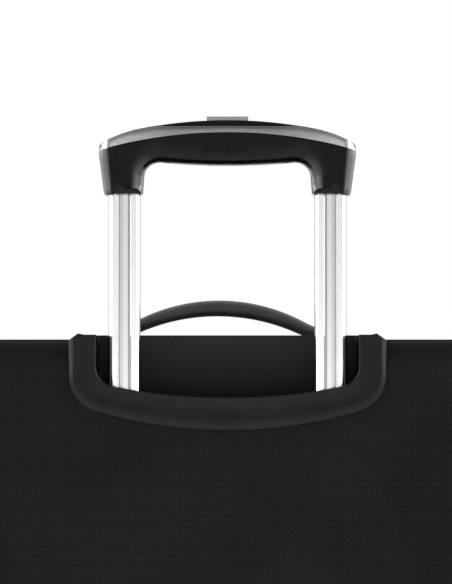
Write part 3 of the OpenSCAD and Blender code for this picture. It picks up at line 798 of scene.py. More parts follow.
def cloth_tray(mouth_y, edge_y, sign, er, inset, spacing, relief, wave, seed):
    """A tray of cloth: wall, soft edge and face. relief(x, z) is how far the face stands out."""
    rings = [upright(case_loop(i), y) for i, y in tray_rings(mouth_y, edge_y, sign, er, inset)]
    flat, faces = filled(rings[-1][:, [0, 2]], spacing)
    face = upright(flat, edge_y + sign * er)
    wavy = ripple(face, 70, wave, seed) * smoothstep(clearance(flat, rings[-1][:, [0, 2]]), 0, 40)
    face[:, 1] += sign * (relief(flat[:, 0], flat[:, 1]) + wavy)
    return [loft(rings), (face, faces)]


def back_relief(x, z):
    """The foam behind the back panel swells it a little below the rim."""
    across = np.clip(1 - (x / 200) ** 2, 0, 1)
    up = np.clip((z - 60) / 520, 0, 1)
    return 2.0 * across * np.sin(math.pi * up) ** 0.8


def no_relief(x, z):
    return np.zeros(len(x))


back_cloth = make(
    "back_cloth", cloth_tray(SEAM_Y, BACK_Y - BACK_EDGE_R, 1, BACK_EDGE_R, 0, 7, back_relief, 0.35, 1),
    "case_cloth", shell=WALL, weld=True)
rim_hole_inset = 4.2
rim_hole = both(rim_half(-rim_hole_inset) + [(RIM_HALF_W - rim_hole_inset, 20)]) + (0, CASE_TOP)
rim_hole_tool = solid([upright(rim_hole, 60), upright(rim_hole, 140)])
finish_cut(back_cloth, [rim_hole_tool] + housing_tools(-1), "case", ["back_shell"])


def gusset_rings():
    """The wall round the case, sagging slightly between its two seams."""
    rings = []
    stations = np.linspace(SEAM_Y, BODY_FRONT_Y, 20)
    for index, y in enumerate(stations):
        sag = math.sin(math.pi * index / (len(stations) - 1))
        loop = case_loop(0)
        ring = upright(loop, y)
        calm = 1 - smoothstep(loop[:, 1], CASE_TOP - 60, CASE_TOP - 5)
        depth = sag * calm * (0.5 + 0.9 * np.abs(ripple(ring, 80, 1.0, 2)))
        middle = np.array((0, y, MID_Z))
        out = ring - middle
        out[:, 1] = 0
        ring -= out / np.linalg.norm(out, axis=1)[:, None] * depth[:, None]
        rings.append(ring)
    return rings


gusset_cloth = make("gusset_cloth", [loft(gusset_rings())], "case_cloth", shell=WALL)
collar_cut = [(118.3, 130)] + arc(COLLAR_X, COLLAR_Y, 10.9, 0, -90, 8)
collar_room = solid([level(both(collar_cut), z) for z in (640, 670)])
finish_cut(gusset_cloth, housing_tools(-1) + [collar_room], "case", ["gusset"])

seam_path = upright(case_loop(-0.2), SEAM_Y)
back_piping = make("back_piping", [tube_along(seam_path, 1.2, closed=True)], "case_cloth", material="webbing")
finish_cut(back_piping, housing_tools(-1) + [collar_room], "case", sharp=60)


def open_zip_path(inset, y):
    """The main zip's line, from the foot of the hinge side, round the bottom, side and top, to its head."""
    loop = case_loop(inset)
    hinge_start = 2 * CASE_ARCS + CASE_STEPS[0]
    after = hinge_start + CASE_STEPS[1]
    order = list(range(after, len(loop))) + list(range(0, hinge_start + 1))
    side = -(CASE_HALF_W - inset)
    line = [(side, MID_Z - 263)] + [tuple(loop[i]) for i in order] + [(side, MID_Z + 263)]
    return upright(np.array(line), y)


def outward(path):
    """Directions away from the middle of the case, square to a line round it."""
    ahead = np.gradient(path, axis=0)
    out = np.column_stack([ahead[:, 2], np.zeros(len(path)), -ahead[:, 0]])
    out /= np.linalg.norm(out, axis=1)[:, None]
    middle = path - (0, path[0, 1], MID_Z)
    return out * np.sign((out * middle).sum(1))[:, None]


def teeth(path, out, across, reach, phase):
    """Zip coils along a line: bent nylon loops that reach across the middle line."""
    gap = 2.0
    at, ahead = spaced(path, gap)
    parts = []
    for point, direction, up in zip(at, ahead, out(at)):
        middle = point + direction * gap * phase
        rings = []
        for t, size in ((-0.1, 0.5), (0.15, 0.8), (0.55, 0.75), (0.85, 1.05), (1.0, 0.6)):
            centre = middle + np.asarray(across, float) * reach * t + up * 0.25 * math.sin(math.pi * t)
            rings.append([centre + size * (0.62 * direction * math.cos(a) + up * math.sin(a))
                          for a in turns(6)])
        parts.append(solid(rings))
    return joined(parts)


def strip(path, out, low, high, thick):
    """A flat tape along a line, from y + low to y + high."""
    corners = ((low, -thick / 2), (high, -thick / 2), (high, thick / 2), (low, thick / 2))
    return solid([[p + np.array((0, y, 0)) + up * h for y, h in corners] for p, up in zip(path, out)])


def main_zip(name, sign, body, node):
    """One side of the main zip: its tape and teeth. sign is the way from the middle line to the cloth."""
    path = open_zip_path(1.9, ZIP_Y)
    tape = strip(path, outward(path), *sorted((sign * 1.6, sign * 8.0)), 0.7)
    base = path + (0, sign * 3.4, 0)
    row = teeth(base, outward, (0, -sign, 0), 3.9, 0.25 * sign)
    make(name, [tape, row], "zip_coil", body, [node], sharp=50)


main_zip("main_zip_case", 1, "case", "body_zip")
main_zip("main_zip_lid", -1, "lid", "lid_zip")


def stitch_ring(name, y, body):
    """Stitches round the case on its wall, left out at the wheel housings and the cup."""
    path = upright(case_loop(-0.05), y)
    parts = []
    for point, direction in zip(*spaced(path, 3.6, closed=True)):
        if point[2] < 104 and abs(point[0]) > 176 and 58 < y < 124:
            continue
        if point[2] > CASE_TOP - 5 and abs(point[0]) < 121 and y > 70:
            continue
        out = np.array((direction[2], 0, -direction[0]))
        out *= np.sign(out @ (point - (0, y, MID_Z)))
        parts.append(one_stitch(point, direction, out))
    make(name, parts, "case_cloth", body, material="thread", sharp=60)


stitch_ring("stitches_back_seam", SEAM_Y - 5, "case")
stitch_ring("stitches_case_zip", BODY_FRONT_Y + 3, "case")
stitch_ring("stitches_lid_zip", LID_OPEN_Y - 3, "lid")

# The fabric hinge: two layers, bent smoothly between the case and the lid.
hinge_loops = []
for z in np.linspace(MID_Z - 262, MID_Z + 262, 60):
    y = np.linspace(-48, -74, 25)
    bow_out = 0.35 * np.sin((y + 74) / 26 * math.pi)
    outer, inner = (np.column_stack([x - bow_out, y, np.full(25, z)]) for x in (-222.6, -220.6))
    hinge_loops.append(np.vstack([outer, inner[::-1]]))
hinge = make("hinge_cloth", [solid(hinge_loops)], "webbing", None, [], sharp=50)
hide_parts("hinge_strip")
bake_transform(hinge)

# ---- lining ----

LINING_MOUTH_Y = -46
LINING_EDGE_Y = 69.7
LINING_EDGE_R = 6
LINING_INSET = 3.3
lining_parts = cloth_tray(LINING_MOUTH_Y, LINING_EDGE_Y, 1, LINING_EDGE_R, LINING_INSET, 12, no_relief,
                          0.25, 5)
lining = make("lining_cloth", lining_parts, "lining_cloth", shell=0.8, weld=True)
finish_cut(lining, housing_tools(1.5) + handle_tools(), "case", ["lining"])

lid_loop = rounded_loop(208, 299, 26, 8, (24, 36)) + (0, MID_Z)
lid_flat, lid_faces = filled(lid_loop, 12)
lid_sheet = upright(lid_flat, -96.3)
lid_sheet[:, 1] += ripple(lid_sheet, 90, 0.3, 8)
lid_lining = make("lid_lining_cloth", [(lid_sheet, lid_faces)], "lining_cloth", "lid", ["lid_lining"],
                  shell=0.8)

# ---- lid and pockets ----

lid_cloth = make(
    "lid_cloth", cloth_tray(LID_OPEN_Y, LID_FACE_Y + LID_EDGE_R, -1, LID_EDGE_R, 0, 8, no_relief, 0.25, 11),
    "case_cloth", "lid", ["lid_shell"], shell=WALL, weld=True, sharp=50)
piping_path = upright(case_loop(-1.1), LID_FACE_Y + LID_EDGE_R)
make("lid_piping_cord", [tube_along(piping_path, 1.35, closed=True)], "webbing", "lid", ["lid_piping"],
     sharp=60)


def pocket(name, node, place, seed):
    """A stuffed pocket on the lid, with a slot for its zip."""
    half_h = (place["z1"] - place["z0"]) / 2
    mid = (place["z1"] + place["z0"]) / 2
    face = LID_FACE_Y - place["depth"]
    soft = 9

    def outline(inset, y):
        loop = rounded_loop(POCKET_HALF_W - inset, half_h - inset, POCKET_R - inset, 8, (30, 24))
        return upright(loop + (0, mid), y)

    rings = [(0.4, y) for y in (LID_FACE_Y + 1.2, LID_FACE_Y - 2, face + soft + 1.5)]
    for i in range(1, 9):
        shift, rise = edge_profile(soft, i / 8)
        rings.append((0.4 + shift, face + soft + 1.5 - rise))
    piece = make(name, [solid([outline(*ring) for ring in rings])], "case_cloth", sharp=60)
    inflated(piece, 5.5, 4.0, 3.2, lambda p: smoothstep(p[:, 1], LID_FACE_Y - 7, LID_FACE_Y - 2))
    refined(piece)

    def drawn(points):
        front = smoothstep(-points[:, 1], -face - 9, -face - 2)
        away = np.abs(points[:, 2] - place["zip_z"])
        pulled = 1 - smoothstep(away, 4, 15)
        points[:, 1] += front * pulled * np.maximum(0, face + 0.4 - points[:, 1])
        creased = ripple(points, 55, 1.0, seed) + ripple(points * (1, 1, 2.2), 24, 0.35, seed + 3)
        points[:, 1] += front * creased * 0.7 * smoothstep(away, 8, 30)
        return points

    reshaped(piece, drawn)
    zip_z = place["zip_z"]
    slot_low = (-POCKET_ZIP_HALF - 1, face - 8, zip_z - 4.6)
    slot_high = (POCKET_ZIP_HALF + 1, face + 5.5, zip_z + 4.6)
    finish_cut(piece, [block(slot_low, slot_high)], "lid", [node])
    cord = tube_along(outline(-0.6, LID_FACE_Y - 0.9), 1.3, closed=True)
    make(name + "_piping", [cord], "webbing", "lid", sharp=60)
    ends = [((-POCKET_ZIP_HALF, dz), (POCKET_ZIP_HALF, dz)) for dz in (-7.2, 7.2)]
    ends += [((x, -7), (x, 7)) for x in (-POCKET_ZIP_HALF - 4, POCKET_ZIP_HALF + 4)]
    rows = [stitches([(x, face - 0.35, zip_z + dz) for x, dz in row], (0, -1, 0)) for row in ends]
    make(name + "_stitches", rows, "case_cloth", "lid", material="thread", sharp=60)


pocket("large_pocket_cloth", "large_pocket", LARGE_POCKET, 21)
pocket("small_pocket_cloth", "small_pocket", SMALL_POCKET, 31)


def towards_front(points):
    return np.tile((0.0, -1.0, 0.0), (len(points), 1))


def pocket_zip(place):
    """A closed straight zip: two tapes and two rows of teeth that meet."""
    face = LID_FACE_Y - place["depth"] + 1.3
    z = place["zip_z"]
    parts = []
    for sign in (-1, 1):
        low, high = sorted((z + sign * 0.9, z + sign * 4.5))
        parts.append(block((-POCKET_ZIP_HALF, face - 0.35, low), (POCKET_ZIP_HALF, face + 0.35, high)))
        line = [(x, face, z + sign * 2.9) for x in (-POCKET_ZIP_HALF, POCKET_ZIP_HALF)]
        parts.append(teeth(line, towards_front, (0, 0, -sign), 3.4, 0.25 * sign))
    return parts


make("pocket_zip_rows", pocket_zip(LARGE_POCKET) + pocket_zip(SMALL_POCKET), "zip_coil", "lid",
     ["pocket_zips"], sharp=50)

for zip_name in ("main_{}_left", "main_{}_right", "large_pocket_{}", "small_pocket_{}"):
    for kind in ("slider", "pull"):
        node = zip_name.format(kind)
        softened(node, node + "_cast", "zip_metal", node, 0.45)

# ---- carry handles ----


HANDLE_LOW = 2.5
HANDLE_TANG_X = 80
HANDLE_TIP_X = 88


def handle_section(width, thick, power=2.9):
    """A rounded section: across and out."""
    points = []
    for a in turns(28):
        c, s = math.cos(a), math.sin(a)
        points.append((math.copysign(abs(c) ** (2 / power), c) * width / 2,
                       math.copysign(abs(s) ** (2 / power), s) * thick / 2))
    return np.array(points)


def slab(half_x, z0, z1, x, place):
    """A block at place x along a handle, 22 mm wide."""
    loop = np.array([(x - half_x, -11), (x + half_x, -11), (x + half_x, 11), (x - half_x, 11)])
    return solid([place(level(loop, z)) for z in (z0, z1)])


def handle_line(rise, thick, end_thick, arch_r, peak):
    """The handle's middle line, lying on its plates at both ends: place along, height and thickness."""
    ends = np.linspace(-HANDLE_TIP_X, -70, 8)[:-1]
    middles = []
    for x in np.concatenate([ends, np.linspace(-70, 70, 57), -ends[::-1]]):
        t = min(abs(x) / HANDLE_TANG_X, 1)
        thickness = thick + (end_thick - thick) * t * t
        r = arch_r - thick / 2
        z = rise - thick / 2 - r + math.sqrt(r * r - min(abs(x - peak), HANDLE_TIP_X) ** 2)
        floor = HANDLE_LOW + thickness / 2
        middles.append((x, floor + math.log1p(math.exp((z - floor) / 1.2)) * 1.2, thickness))
    return middles


def carry_handle(name, node, body, place, shape):
    """A padded arch with sewn edges and its tangs. place puts (along, across, out) in the frame."""
    rings, edge_rows = [], {-1: [], 1: []}
    middles = handle_line(*shape)
    for i, (x, z, thickness) in enumerate(middles):
        before, after = middles[max(i - 1, 0)], middles[min(i + 1, len(middles) - 1)]
        slope = math.atan2(after[1] - before[1], after[0] - before[0])
        tip = smoothstep(abs(x), 84, HANDLE_TIP_X + 0.01)
        width = 28 - 1.5 * smoothstep(abs(x), 55, 80) - 5 * tip
        across, out = handle_section(width, thickness * (1 - 0.45 * tip)).T
        rings.append(place(np.column_stack([x - out * math.sin(slope), across, z + out * math.cos(slope)])))
        down = -0.26 * thickness
        for side in (-1, 1):
            point = (x - down * math.sin(slope), side * (width / 2 + 0.05), z + down * math.cos(slope))
            edge_rows[side].append(place(np.array([point]))[0])
    tangs = []
    for x in (-HANDLE_TANG_X, HANDLE_TANG_X):
        tangs += [slab(1.5, -15, HANDLE_LOW + 3, x, place), slab(6, -17, -14, x, place)]
    piece = make(name, [solid(rings)] + tangs, "handle_rubber", body, [node], sharp=55)
    rows = []
    for side in (-1, 1):
        out = place(np.array([[0, side, 0]]))[0] - place(np.array([[0, 0, 0]]))[0]
        rows.append(stitches(edge_rows[side], out, gap=3.2, length=2.4, thick=0.75))
    make(name + "_stitches", rows, "handle_rubber", body, material="thread", sharp=60)


def on_top(points):
    return np.column_stack([points[:, 0], points[:, 1] + HANDLE_Y, points[:, 2] + CASE_TOP])


def on_side(points):
    along, across, out = points.T
    return np.column_stack([out + CASE_HALF_W, across + HANDLE_Y, SIDE_HANDLE_Z - along])


# Rise, thickness, thickness at the ends, radius of the arch, and how far its top is off the middle.
carry_handle("top_handle_pad", "top_handle", "top_handle", on_top, (32.6, 12.4, 8.4, 150, 7))
carry_handle("side_handle_pad", "side_handle", "side_handle", on_side, (12.5, 5.5, 4.5, 600, 0))


def handle_plates(name, node, place):
    """Moulded plates with eased edges and two rivets each."""
    plates = []
    for x in (-HANDLE_TANG_X, HANDLE_TANG_X):
        rings = []
        for inset, z in ((0, -1.0), (0, 1.3), (0.3, 1.8), (0.9, 2.1)):
            loop = rounded_loop(11 - inset, 20 - inset, 6 - inset, 6, (2, 4))
            rings.append(place(level(loop + (x, 0), z)))
        plates.append(solid(rings))
        for y in (-16.6, 16.6):
            rivet = ((2.6, 1.6), (2.6, 2.35), (2.1, 2.9), (1.1, 3.15))
            plates.append(solid([place(level(circle(r) + (x, y), z)) for r, z in rivet]))
    make(name, plates, "moulded_plastic", "case", [node], sharp=40)


handle_plates("top_handle_bosses", "top_handle_plates", on_top)
handle_plates("side_handle_bosses", "side_handle_plates", on_side)

# ---- trolley cup and rim ----

softened("trolley_cup", "cup_moulding", "moulded_plastic", "case", 0.7)

RIM_RISE = 5
RIM_ARM_STEPS = 14
RIM_TOP_ALONG = (0, 6.8, 8.4, 14, 20.4)
RIM_TOP_SHIFT = (-4.7, 0.3, 0.5, -1.0, -1.1)


def rim_stations():
    """Matching points on the rim's outer edge and the mouth, from the bottom's middle to the arm's top."""
    outer, inner = rim_half(0), mouth_half()
    outer_z, inner_z = outer[-1][1], inner[-1][1]
    for i in range(1, RIM_ARM_STEPS + 1):
        outer.append((RIM_HALF_W, outer_z + (RIM_RISE - outer_z) * i / RIM_ARM_STEPS))
        inner.append((MOUTH_HALF_W, inner_z + (RIM_RISE - inner_z) * i / RIM_ARM_STEPS))
    return outer, inner


def soft_edge_depth(z):
    """Depth of the back panel's surface at a height, where the soft edge curves away."""
    over = min(max(z - (CASE_TOP - BACK_EDGE_R), 0), BACK_EDGE_R)
    return BACK_Y - BACK_EDGE_R + math.sqrt(BACK_EDGE_R**2 - over**2)


def rim_section(outer, inner):
    """The rim's section at one station: chamfer, dished face, mouth wall, and its back."""
    outer, inner = np.array(outer), np.array(inner)
    across = inner - outer
    width = np.linalg.norm(across)
    across /= width
    base = max(soft_edge_depth(CASE_TOP + outer[1]) - 1.6, 98.6)
    shape = [
        (0, base), (0, 121.2), (0.5, 121.9), (3.4, 123.75), (4.2, 124), (width * 0.36, 123.55),
        (width * 0.62, 123.5), (width - 2.6, 123.75), (width - 1.2, 123.95), (width - 0.6, 124),
        (width - 0.1, 123.6), (width, 123),
        (width, RIM_BACK_Y), (width - 2.5, RIM_BACK_Y), (width - 2.5, 120.15), (3, 120.15), (3, base),
    ]
    ring = []
    for along, y in shape:
        x, z = outer + across * along
        if z > 0:
            z *= 1 + float(np.interp(along, RIM_TOP_ALONG, RIM_TOP_SHIFT)) / RIM_RISE
        ring.append((x, y, z + CASE_TOP))
    return ring


outer_line, inner_line = rim_stations()
half_rings = [rim_section(o, i) for o, i in zip(outer_line, inner_line)]
other_rings = [[(-x, y, z) for x, y, z in ring] for ring in reversed(half_rings)]
plan = [(119.1, 122.4)] + arc(COLLAR_X, COLLAR_Y, 11.7, 0, -90, 8)
mouth_corner = [(-96 - 3 * math.sin(a), COLLAR_Y - 3 * math.cos(a)) for a in np.linspace(math.pi / 2, 0, 5)]
collar_loop = np.vstack([both(plan), both([(-MOUTH_HALF_W, 122.4)] + mouth_corner)])
collar_top = np.column_stack([np.clip(collar_loop[:, 0], -112.9, 112.9), collar_loop[:, 1]])
collar = solid([level(collar_loop, CASE_TOP + 0.1), level(collar_top, CASE_TOP + 4.6)])
make("rim_moulding", [solid(other_rings + half_rings), collar], "moulded_plastic", "case",
     ["trolley_rim"], sharp=28, bevel=0.45)

# The wall behind the tubes, up to the collar's top, its face leaning back a little; its colour is painted
# darker towards its foot, painted shade.
wall_x = 98.4
wall_levels = ((CASE_TOP + 4.7, 79.2), (CASE_TOP - 6, 79.7), (CASE_TOP - 30, 80.0), (CASE_TOP - 52, 80.2))
wall_rings = [level(np.array([(-wall_x, 77.6), (wall_x, 77.6), (wall_x, y), (-wall_x, y)]), z)
              for z, y in wall_levels]
make("cup_back_wall", [solid(wall_rings)], "moulded_plastic", "case", sharp=30, bevel=0.35,
     material="cup_plastic")

# ---- sliding tubes ----


def tube_profile():
    """A quarter-symmetric tube section: crowned outer bands, two flutes and a flat land between them."""
    side = [(0, 7.4), (0.9, 7.39), (1.8, 7.36), (2.6, 7.3), (3.3, 7.22), (3.5, 6.95), (3.65, 6.85),
            (4.75, 6.85), (4.9, 6.95), (5.1, 7.48), (5.5, 7.5), (6.2, 7.47), (7.0, 7.4)]
    corner = arc(7.8, 3.1, 4.3, 84, 0, 12)
    quarter = side + corner
    half = quarter + [(x, -y) for x, y in reversed(quarter)]
    return np.array(half + [(-x, y) for x, y in reversed(half)][1:-1])


def sliding_tube(side, sign):
    outer = tube_profile()
    inner = outer * (11.3 / TUBE_HALF_W, 6.2 / 7.5)
    rings = [level(outer + (sign * TUBE_X, TUBE_Y), z) for z in (270, 795)]
    rings += [level(inner + (sign * TUBE_X, TUBE_Y), z) for z in (795, 270)]
    wall = loft(rings, wrap=True)
    make(f"tube_section_{side}", [wall], "tube_aluminium", "trolley", [f"inner_tube_{side}"], sharp=30)


for side, sign in SIDES:
    sliding_tube(side, sign)

# ---- springs of the lock ----


def spring(name, start, axis, sizes, replaces):
    """A coil spring from its start along an axis. sizes: radius, wire, length and coils."""
    r, wire, length, coils = sizes
    ahead = np.array(axis, float)
    side = np.array((0.0, 1.0, 0.0))
    other = np.cross(ahead, side)
    t = np.linspace(0, 1, 16 * coils + 1)
    a = t * coils * TAU
    path = np.array(start) + np.outer(t * length, ahead)
    path += r * (np.outer(np.cos(a), side) + np.outer(np.sin(a), other))
    piece = make(name, [tube_along(path, wire)], "steel", "trolley", replaces, sharp=60)
    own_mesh(piece)


spring("button_coil", (0, TUBE_Y, SLEEVE_Z + 28.4), (0, 0, 1), (4, 0.3, 3.6, 3),
       ["button_spring"])
spring("pin_coil_left", (-67.2, TUBE_Y, LOCK_PIN_Z), (-1, 0, 0), (2, 0.3, 11, 5),
       ["pin_springs"])
spring("pin_coil_right", (67.2, TUBE_Y, LOCK_PIN_Z), (1, 0, 0), (2, 0.3, 11, 5),
       [])

# ---- grip ----


def crown_z(x):
    """The grip's top line: an arc that drops a little faster towards its ends."""
    past = np.maximum(np.abs(x) - 72.5, 0)
    return 56.9 - 340 + np.sqrt(340**2 - np.square(x)) - 0.105 * past - 0.0022 * past**2


def band_under_z(x):
    """The line between the grip's body and its band."""
    return 47.2 - 360 + np.sqrt(360**2 - np.square(x))


def belly_z(x):
    return 22.6 + 2.4 * (x / 51) ** 2


def resampled(half, gap):
    """A line's points made even, corners kept."""
    points = []
    for (x0, z0), (x1, z1) in zip(half, half[1:]):
        count = max(1, round(math.hypot(x1 - x0, z1 - z0) / gap))
        points += [(x0 + (x1 - x0) * i / count, z0 + (z1 - z0) * i / count) for i in range(count)]
    return points + [half[-1]]


def inset_loop(loop, amount):
    """Moves a closed outline's points inwards, each by its own amount."""
    before = loop - np.roll(loop, 1, axis=0)
    after = np.roll(loop, -1, axis=0) - loop
    before /= np.linalg.norm(before, axis=1)[:, None]
    after /= np.linalg.norm(after, axis=1)[:, None]
    ahead = before + after
    ahead /= np.linalg.norm(ahead, axis=1)[:, None]
    left = np.column_stack([-ahead[:, 1], ahead[:, 0]])
    area = 0.5 * np.sum(loop[:, 0] * np.roll(loop[:, 1], -1) - np.roll(loop[:, 0], -1) * loop[:, 1])
    return loop + left * math.copysign(1, area) * np.asarray(amount)[:, None]


def cushion_rings(loop, half_depth, radius, weight):
    """Rings through the depth of a piece, its outline drawn in along rounded edges of the given radius."""
    stack = []
    steps = 7
    for i in range(steps + 1):
        a = math.pi / 2 * i / steps
        stack.append((radius * (1 - math.sin(a)), half_depth - radius * (1 - math.cos(a))))
    stack += [(0, 0)] + [(shift, -y) for shift, y in reversed(stack)]
    return [upright(inset_loop(loop, weight * shift), TUBE_Y + y) for shift, y in stack]


def capped(rings):
    """Closes a stack of outlines with evenly triangulated faces."""
    parts = [loft(rings)]
    for ring in (rings[0], rings[-1]):
        flat, faces = filled(ring[:, [0, 2]], 6)
        parts.append((upright(flat, ring[0][1]), faces))
    return parts


def rounded_ends(parts):
    """Rounds the grip's outer ends in the top view, the band's and the body's alike."""
    for points, _ in parts:
        x, y = points[:, 0], (points[:, 1] - TUBE_Y) / (GRIP_HALF_D + 0.3)
        keep = 0.3 + 0.7 * np.clip(1 - np.abs(y) ** 2.5, 0, 1) ** 0.45
        old = np.abs(x)
        new = np.where(old > 82, 82 + (old - 82) * keep, old)
        points[:, 0] = np.sign(x) * new
        rise = points[:, 2] - SLEEVE_Z
        low, high = band_under_z(old), crown_z(old)
        share = np.clip((rise - low) / (high - low), 0, 1)
        lift = (1 - share) * (band_under_z(new) - low) + share * (crown_z(new) - high)
        points[:, 2] += lift * smoothstep(rise, 6, 30)
        points[:, 1] -= (points[:, 1] - TUBE_Y) * 0.11 * smoothstep(new, 72, 90)
    return parts


SCREW_SPOTS = [(x, TUBE_Y + y) for x in (-GRIP_SCREW_X, GRIP_SCREW_X) for y in (-GRIP_SCREW_Y, GRIP_SCREW_Y)]


def rod(spot, r, low, high):
    """An upright round rod, its heights taken from the foot of the sleeves."""
    ring = circle(r) + spot
    return solid([level(ring, SLEEVE_Z + low), level(ring, SLEEVE_Z + high)])


lower = [(x, belly_z(x)) for x in np.linspace(0, 51, 14)]
lower += arc(51, 13, 12, 90, 0, 10)[1:]
lower += [(63.4, 8), (64, 0.9), (64.9, 0)]
lower += [(92.4, 0), (93.4, 0.9), (GRIP_HALF_W, 30), (GRIP_HALF_W, 34.0)]
lower += [(x, band_under_z(x)) for x in np.linspace(92, 0, 24)]
grip_half = resampled(lower, 3.5)
grip_loop = both(grip_half[1:-1]) + (0, SLEEVE_Z)
grip_x, grip_rise = np.abs(grip_loop[:, 0]), grip_loop[:, 1] - SLEEVE_Z
grip_weight = 1 - 0.95 * smoothstep(grip_rise, 27, 33)
grip_weight *= 1 - 0.85 * (1 - smoothstep(grip_rise, 0.5, 4))
grip_weight *= 1 - 0.97 * smoothstep(grip_x, 84, 92)
grip_weight *= 0.55 + 0.45 * smoothstep(grip_x, 30, 60)
grip_parts = rounded_ends(capped(cushion_rings(grip_loop, GRIP_HALF_D, 12.5, grip_weight)))
grip = make("grip_moulding", grip_parts, "grip_rubber", weld=True)
holes = [rod(spot, 2.7, 15, 30.5) for spot in SCREW_SPOTS]
finish_cut(grip, holes, "trolley", ["grip_body"], sharp=40)

band = [(x, band_under_z(x)) for x in np.linspace(0, 92, 24)] + [(GRIP_HALF_W, 33.8)]
band += [(GRIP_HALF_W, 37.6), (96.9, 38.4)]
band += [(x, crown_z(x) - 0.8 * smoothstep(-x, -84, -60)) for x in np.linspace(96.2, 57.5, 13)]
band += [(54, 51.9), (0, 52.3)]
band_loop = both(resampled(band, 4.0)[1:-1]) + (0, SLEEVE_Z)
band_rise = band_loop[:, 1] - SLEEVE_Z - band_under_z(np.minimum(np.abs(band_loop[:, 0]), 97))
band_weight = 0.15 + 0.85 * smoothstep(band_rise, 0.2, 1.5)
band_parts = rounded_ends(capped(cushion_rings(band_loop, GRIP_HALF_D + 0.15, 1.6, band_weight)))
make("band_strip", band_parts, "band_aluminium", "trolley", ["grip_band"], sharp=40, weld=True)

insert = [(0, 51.9), (53, 51.6)] + [(x, crown_z(x) - 1.4) for x in np.linspace(58, 70, 4)]
insert += [(x, crown_z(x) - 0.1) for x in np.linspace(72, 0, 20)]
insert_loop = both(resampled(insert, 4.0)[1:-1]) + (0, SLEEVE_Z)
insert_weight = 0.1 + 0.9 * smoothstep(insert_loop[:, 1] - SLEEVE_Z, 52, 54)
insert_parts = capped(cushion_rings(insert_loop, 12.2, 2.2, insert_weight))
make("insert_cap", insert_parts, "grip_rubber", "trolley", ["grip_insert"], sharp=40, weld=True)
cap = softened("release_button", "button_cap", "band_aluminium", "button", 1.0, 4, material="smooth_silver")
cap_top = max(v.co.z for v in cap.data.vertices) / MM
reshaped(cap, lambda p: p - np.outer(p[:, 2] > cap_top - 2, (0, 0, 0.9)))

# Screws that hold the grip together, deep in their holes.
screws = [rod(spot, *size) for spot in SCREW_SPOTS for size in ((2.4, 28.9, 30.4), (1.4, 30.4, 49))]
make("grip_screw_set", screws, "steel", "trolley", ["grip_screws"], bevel=0.2, material="dark_screw")


def chevron(x):
    """A small raised peak moulded at the foot of a sleeve."""
    parts = []
    y = TUBE_Y + GRIP_HALF_D - 0.35
    for side in (-1, 1):
        rings = []
        for cx, rise, size in ((x + side * 3.6, 0.6, 1.1), (x, 7.2, 0.33)):
            section = ((-size, -0.6), (size, -0.6), (size * 0.3, 0.55), (-size * 0.3, 0.55))
            rings.append([(cx + dx, y + dy, SLEEVE_Z + rise) for dx, dy in section])
        parts.append(solid(rings))
    return parts


make("sleeve_marks", chevron(-TUBE_X) + chevron(TUBE_X), "grip_rubber", "trolley", sharp=30)

# ---- wheels and feet ----


def tyre(side, sign):
    """A tyre with rounded shoulders and two grooves round its tread."""
    half = [(22.0, 11), (27.5, 11), (29.6, 10.4), (31.2, 9), (31.9, 7), (32, 5.2), (32, 4.5), (31.3, 4.2),
            (31.3, 3.4), (32, 3.1), (32, 1.2)]
    profile = half + [(r, -x) for r, x in reversed(half)] + [(21.1, -9.6), (21.1, 9.6)]
    r, x = np.array(profile).T
    rings = [np.column_stack([sign * WHEEL_X + x, WHEEL_Y + r * math.cos(a), WHEEL_R + r * math.sin(a)])
             for a in turns(96)]
    make(f"tyre_tread_{side}", [loft(rings, wrap=True)], "tyre", f"wheel_{side}", [f"tyre_{side}"])


for side, sign in SIDES:
    tyre(side, sign)
for side, _ in SIDES:
    softened(f"wheel_hub_{side}", f"hub_moulding_{side}", "wheel_plastic", f"wheel_{side}", 0.6)
    softened(f"wheel_housing_{side}", f"housing_moulding_{side}", "moulded_plastic", "case", 1.0, 3)
    softened(f"foot_{side}", f"foot_moulding_{side}", "moulded_plastic", "case", 1.6, 3)

# ---- CAD nodes that stay, with their own finish ----

slot_of = {node: material["slot"] for material in frame["record"].get("materials", [])
           for node in material.get("nodes", [])}
for node, obj in frame["nodes"].items():
    for holder in obj.material_slots:
        key = holder.material.name.split(".")[0] if holder.material else ""
        holder.material = MATERIALS[even(key if key in MATERIALS else slot_of.get(node, "moulded_plastic"))]
        if node == "case_screws":
            holder.material = MATERIALS["dark_screw"]

# ---- floor, light and camera ----

floor_mesh = bpy.data.meshes.new("floor")
floor_build = bmesh.new()
bmesh.ops.create_circle(floor_build, cap_ends=True, radius=60, segments=128)
floor_build.to_mesh(floor_mesh)
floor_build.free()
floor = linked("floor", floor_mesh)
floor.location.z = -0.0004
Shader("floor_paper", 0.86, 0.9, Emission_Color=(1, 1, 1, 1), Emission_Strength=0.42, Specular_IOR_Level=0.1)
floor_mesh.materials.append(MATERIALS["floor_paper"])

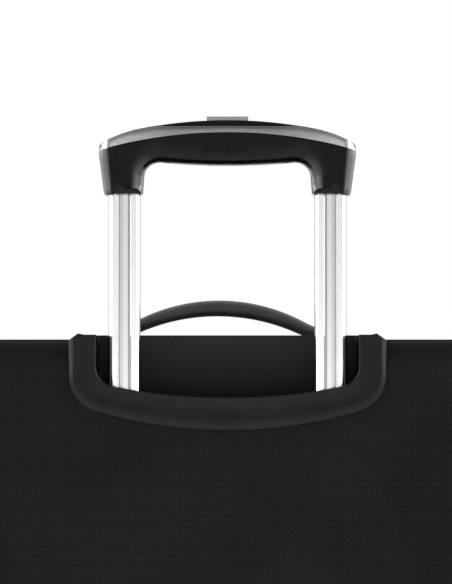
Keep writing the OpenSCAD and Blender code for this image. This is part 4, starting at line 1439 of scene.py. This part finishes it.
world = bpy.data.worlds.new("studio")
bpy.context.scene.world = world
world.use_nodes = True
world.node_tree.nodes.clear()
sky = Nodes(world.node_tree)
new_node = sky.tree.nodes.new
east, north, up = sky.split(new_node("ShaderNodeTexCoord").outputs["Generated"])
side = sky.math("ABSOLUTE", east)
# An even white tent, bright panels at both sides, a soft ceiling, and a pale card behind the camera.
base, panel_share, panel_height, ceiling, card = (sky.range(*ramp, "SMOOTHSTEP") for ramp in (
    (up, 0.0, 0.9, 0.78, 0.5), (side, 0.55, 0.88, 0.0, 7.0), (up, -0.35, 0.1, 0.1, 1.0),
    (up, 0.75, 0.97, 0.0, 0.9), (north, 0.9, 0.98, 0.0, 0.12)))
panels = sky.math("MULTIPLY", panel_share, panel_height)
plain = new_node("ShaderNodeBackground")
plain.inputs["Color"].default_value = (1, 1, 1, 1)
lit = new_node("ShaderNodeBackground")
total = sky.math("ADD", sky.math("ADD", base, card), sky.math("ADD", panels, ceiling))
sky.put(lit.inputs["Strength"], total)
choose = new_node("ShaderNodeMixShader")
seen = new_node("ShaderNodeLightPath").outputs["Is Camera Ray"]
for target, source in zip(choose.inputs, (seen, lit.outputs[0], plain.outputs[0])):
    sky.put(target, source)
sky.put(new_node("ShaderNodeOutputWorld").inputs["Surface"], choose.outputs[0])

scene = bpy.context.scene
scene.view_settings.view_transform = "Standard"
CAMERA_X = 0.0011
CAMERA_Y = 3.0
CAMERA_Z = 0.62
AIM_Z = 0.697
TUBE_FACE_Y = 0.107
SEEN_HEIGHT = 0.4409
camera_data = bpy.data.cameras.new("camera")
camera = linked("camera", camera_data)
reach = CAMERA_Y - TUBE_FACE_Y
rise = AIM_Z - CAMERA_Z
camera.location = (CAMERA_X, CAMERA_Y, CAMERA_Z)
camera.rotation_euler = (math.radians(90) + math.atan2(rise, reach), 0, math.radians(180))
camera_data.sensor_width = 36
camera_data.lens = camera_data.sensor_width * math.hypot(reach, rise) / SEEN_HEIGHT
camera_data.clip_start = 0.05
camera_data.clip_end = 200
scene.camera = camera
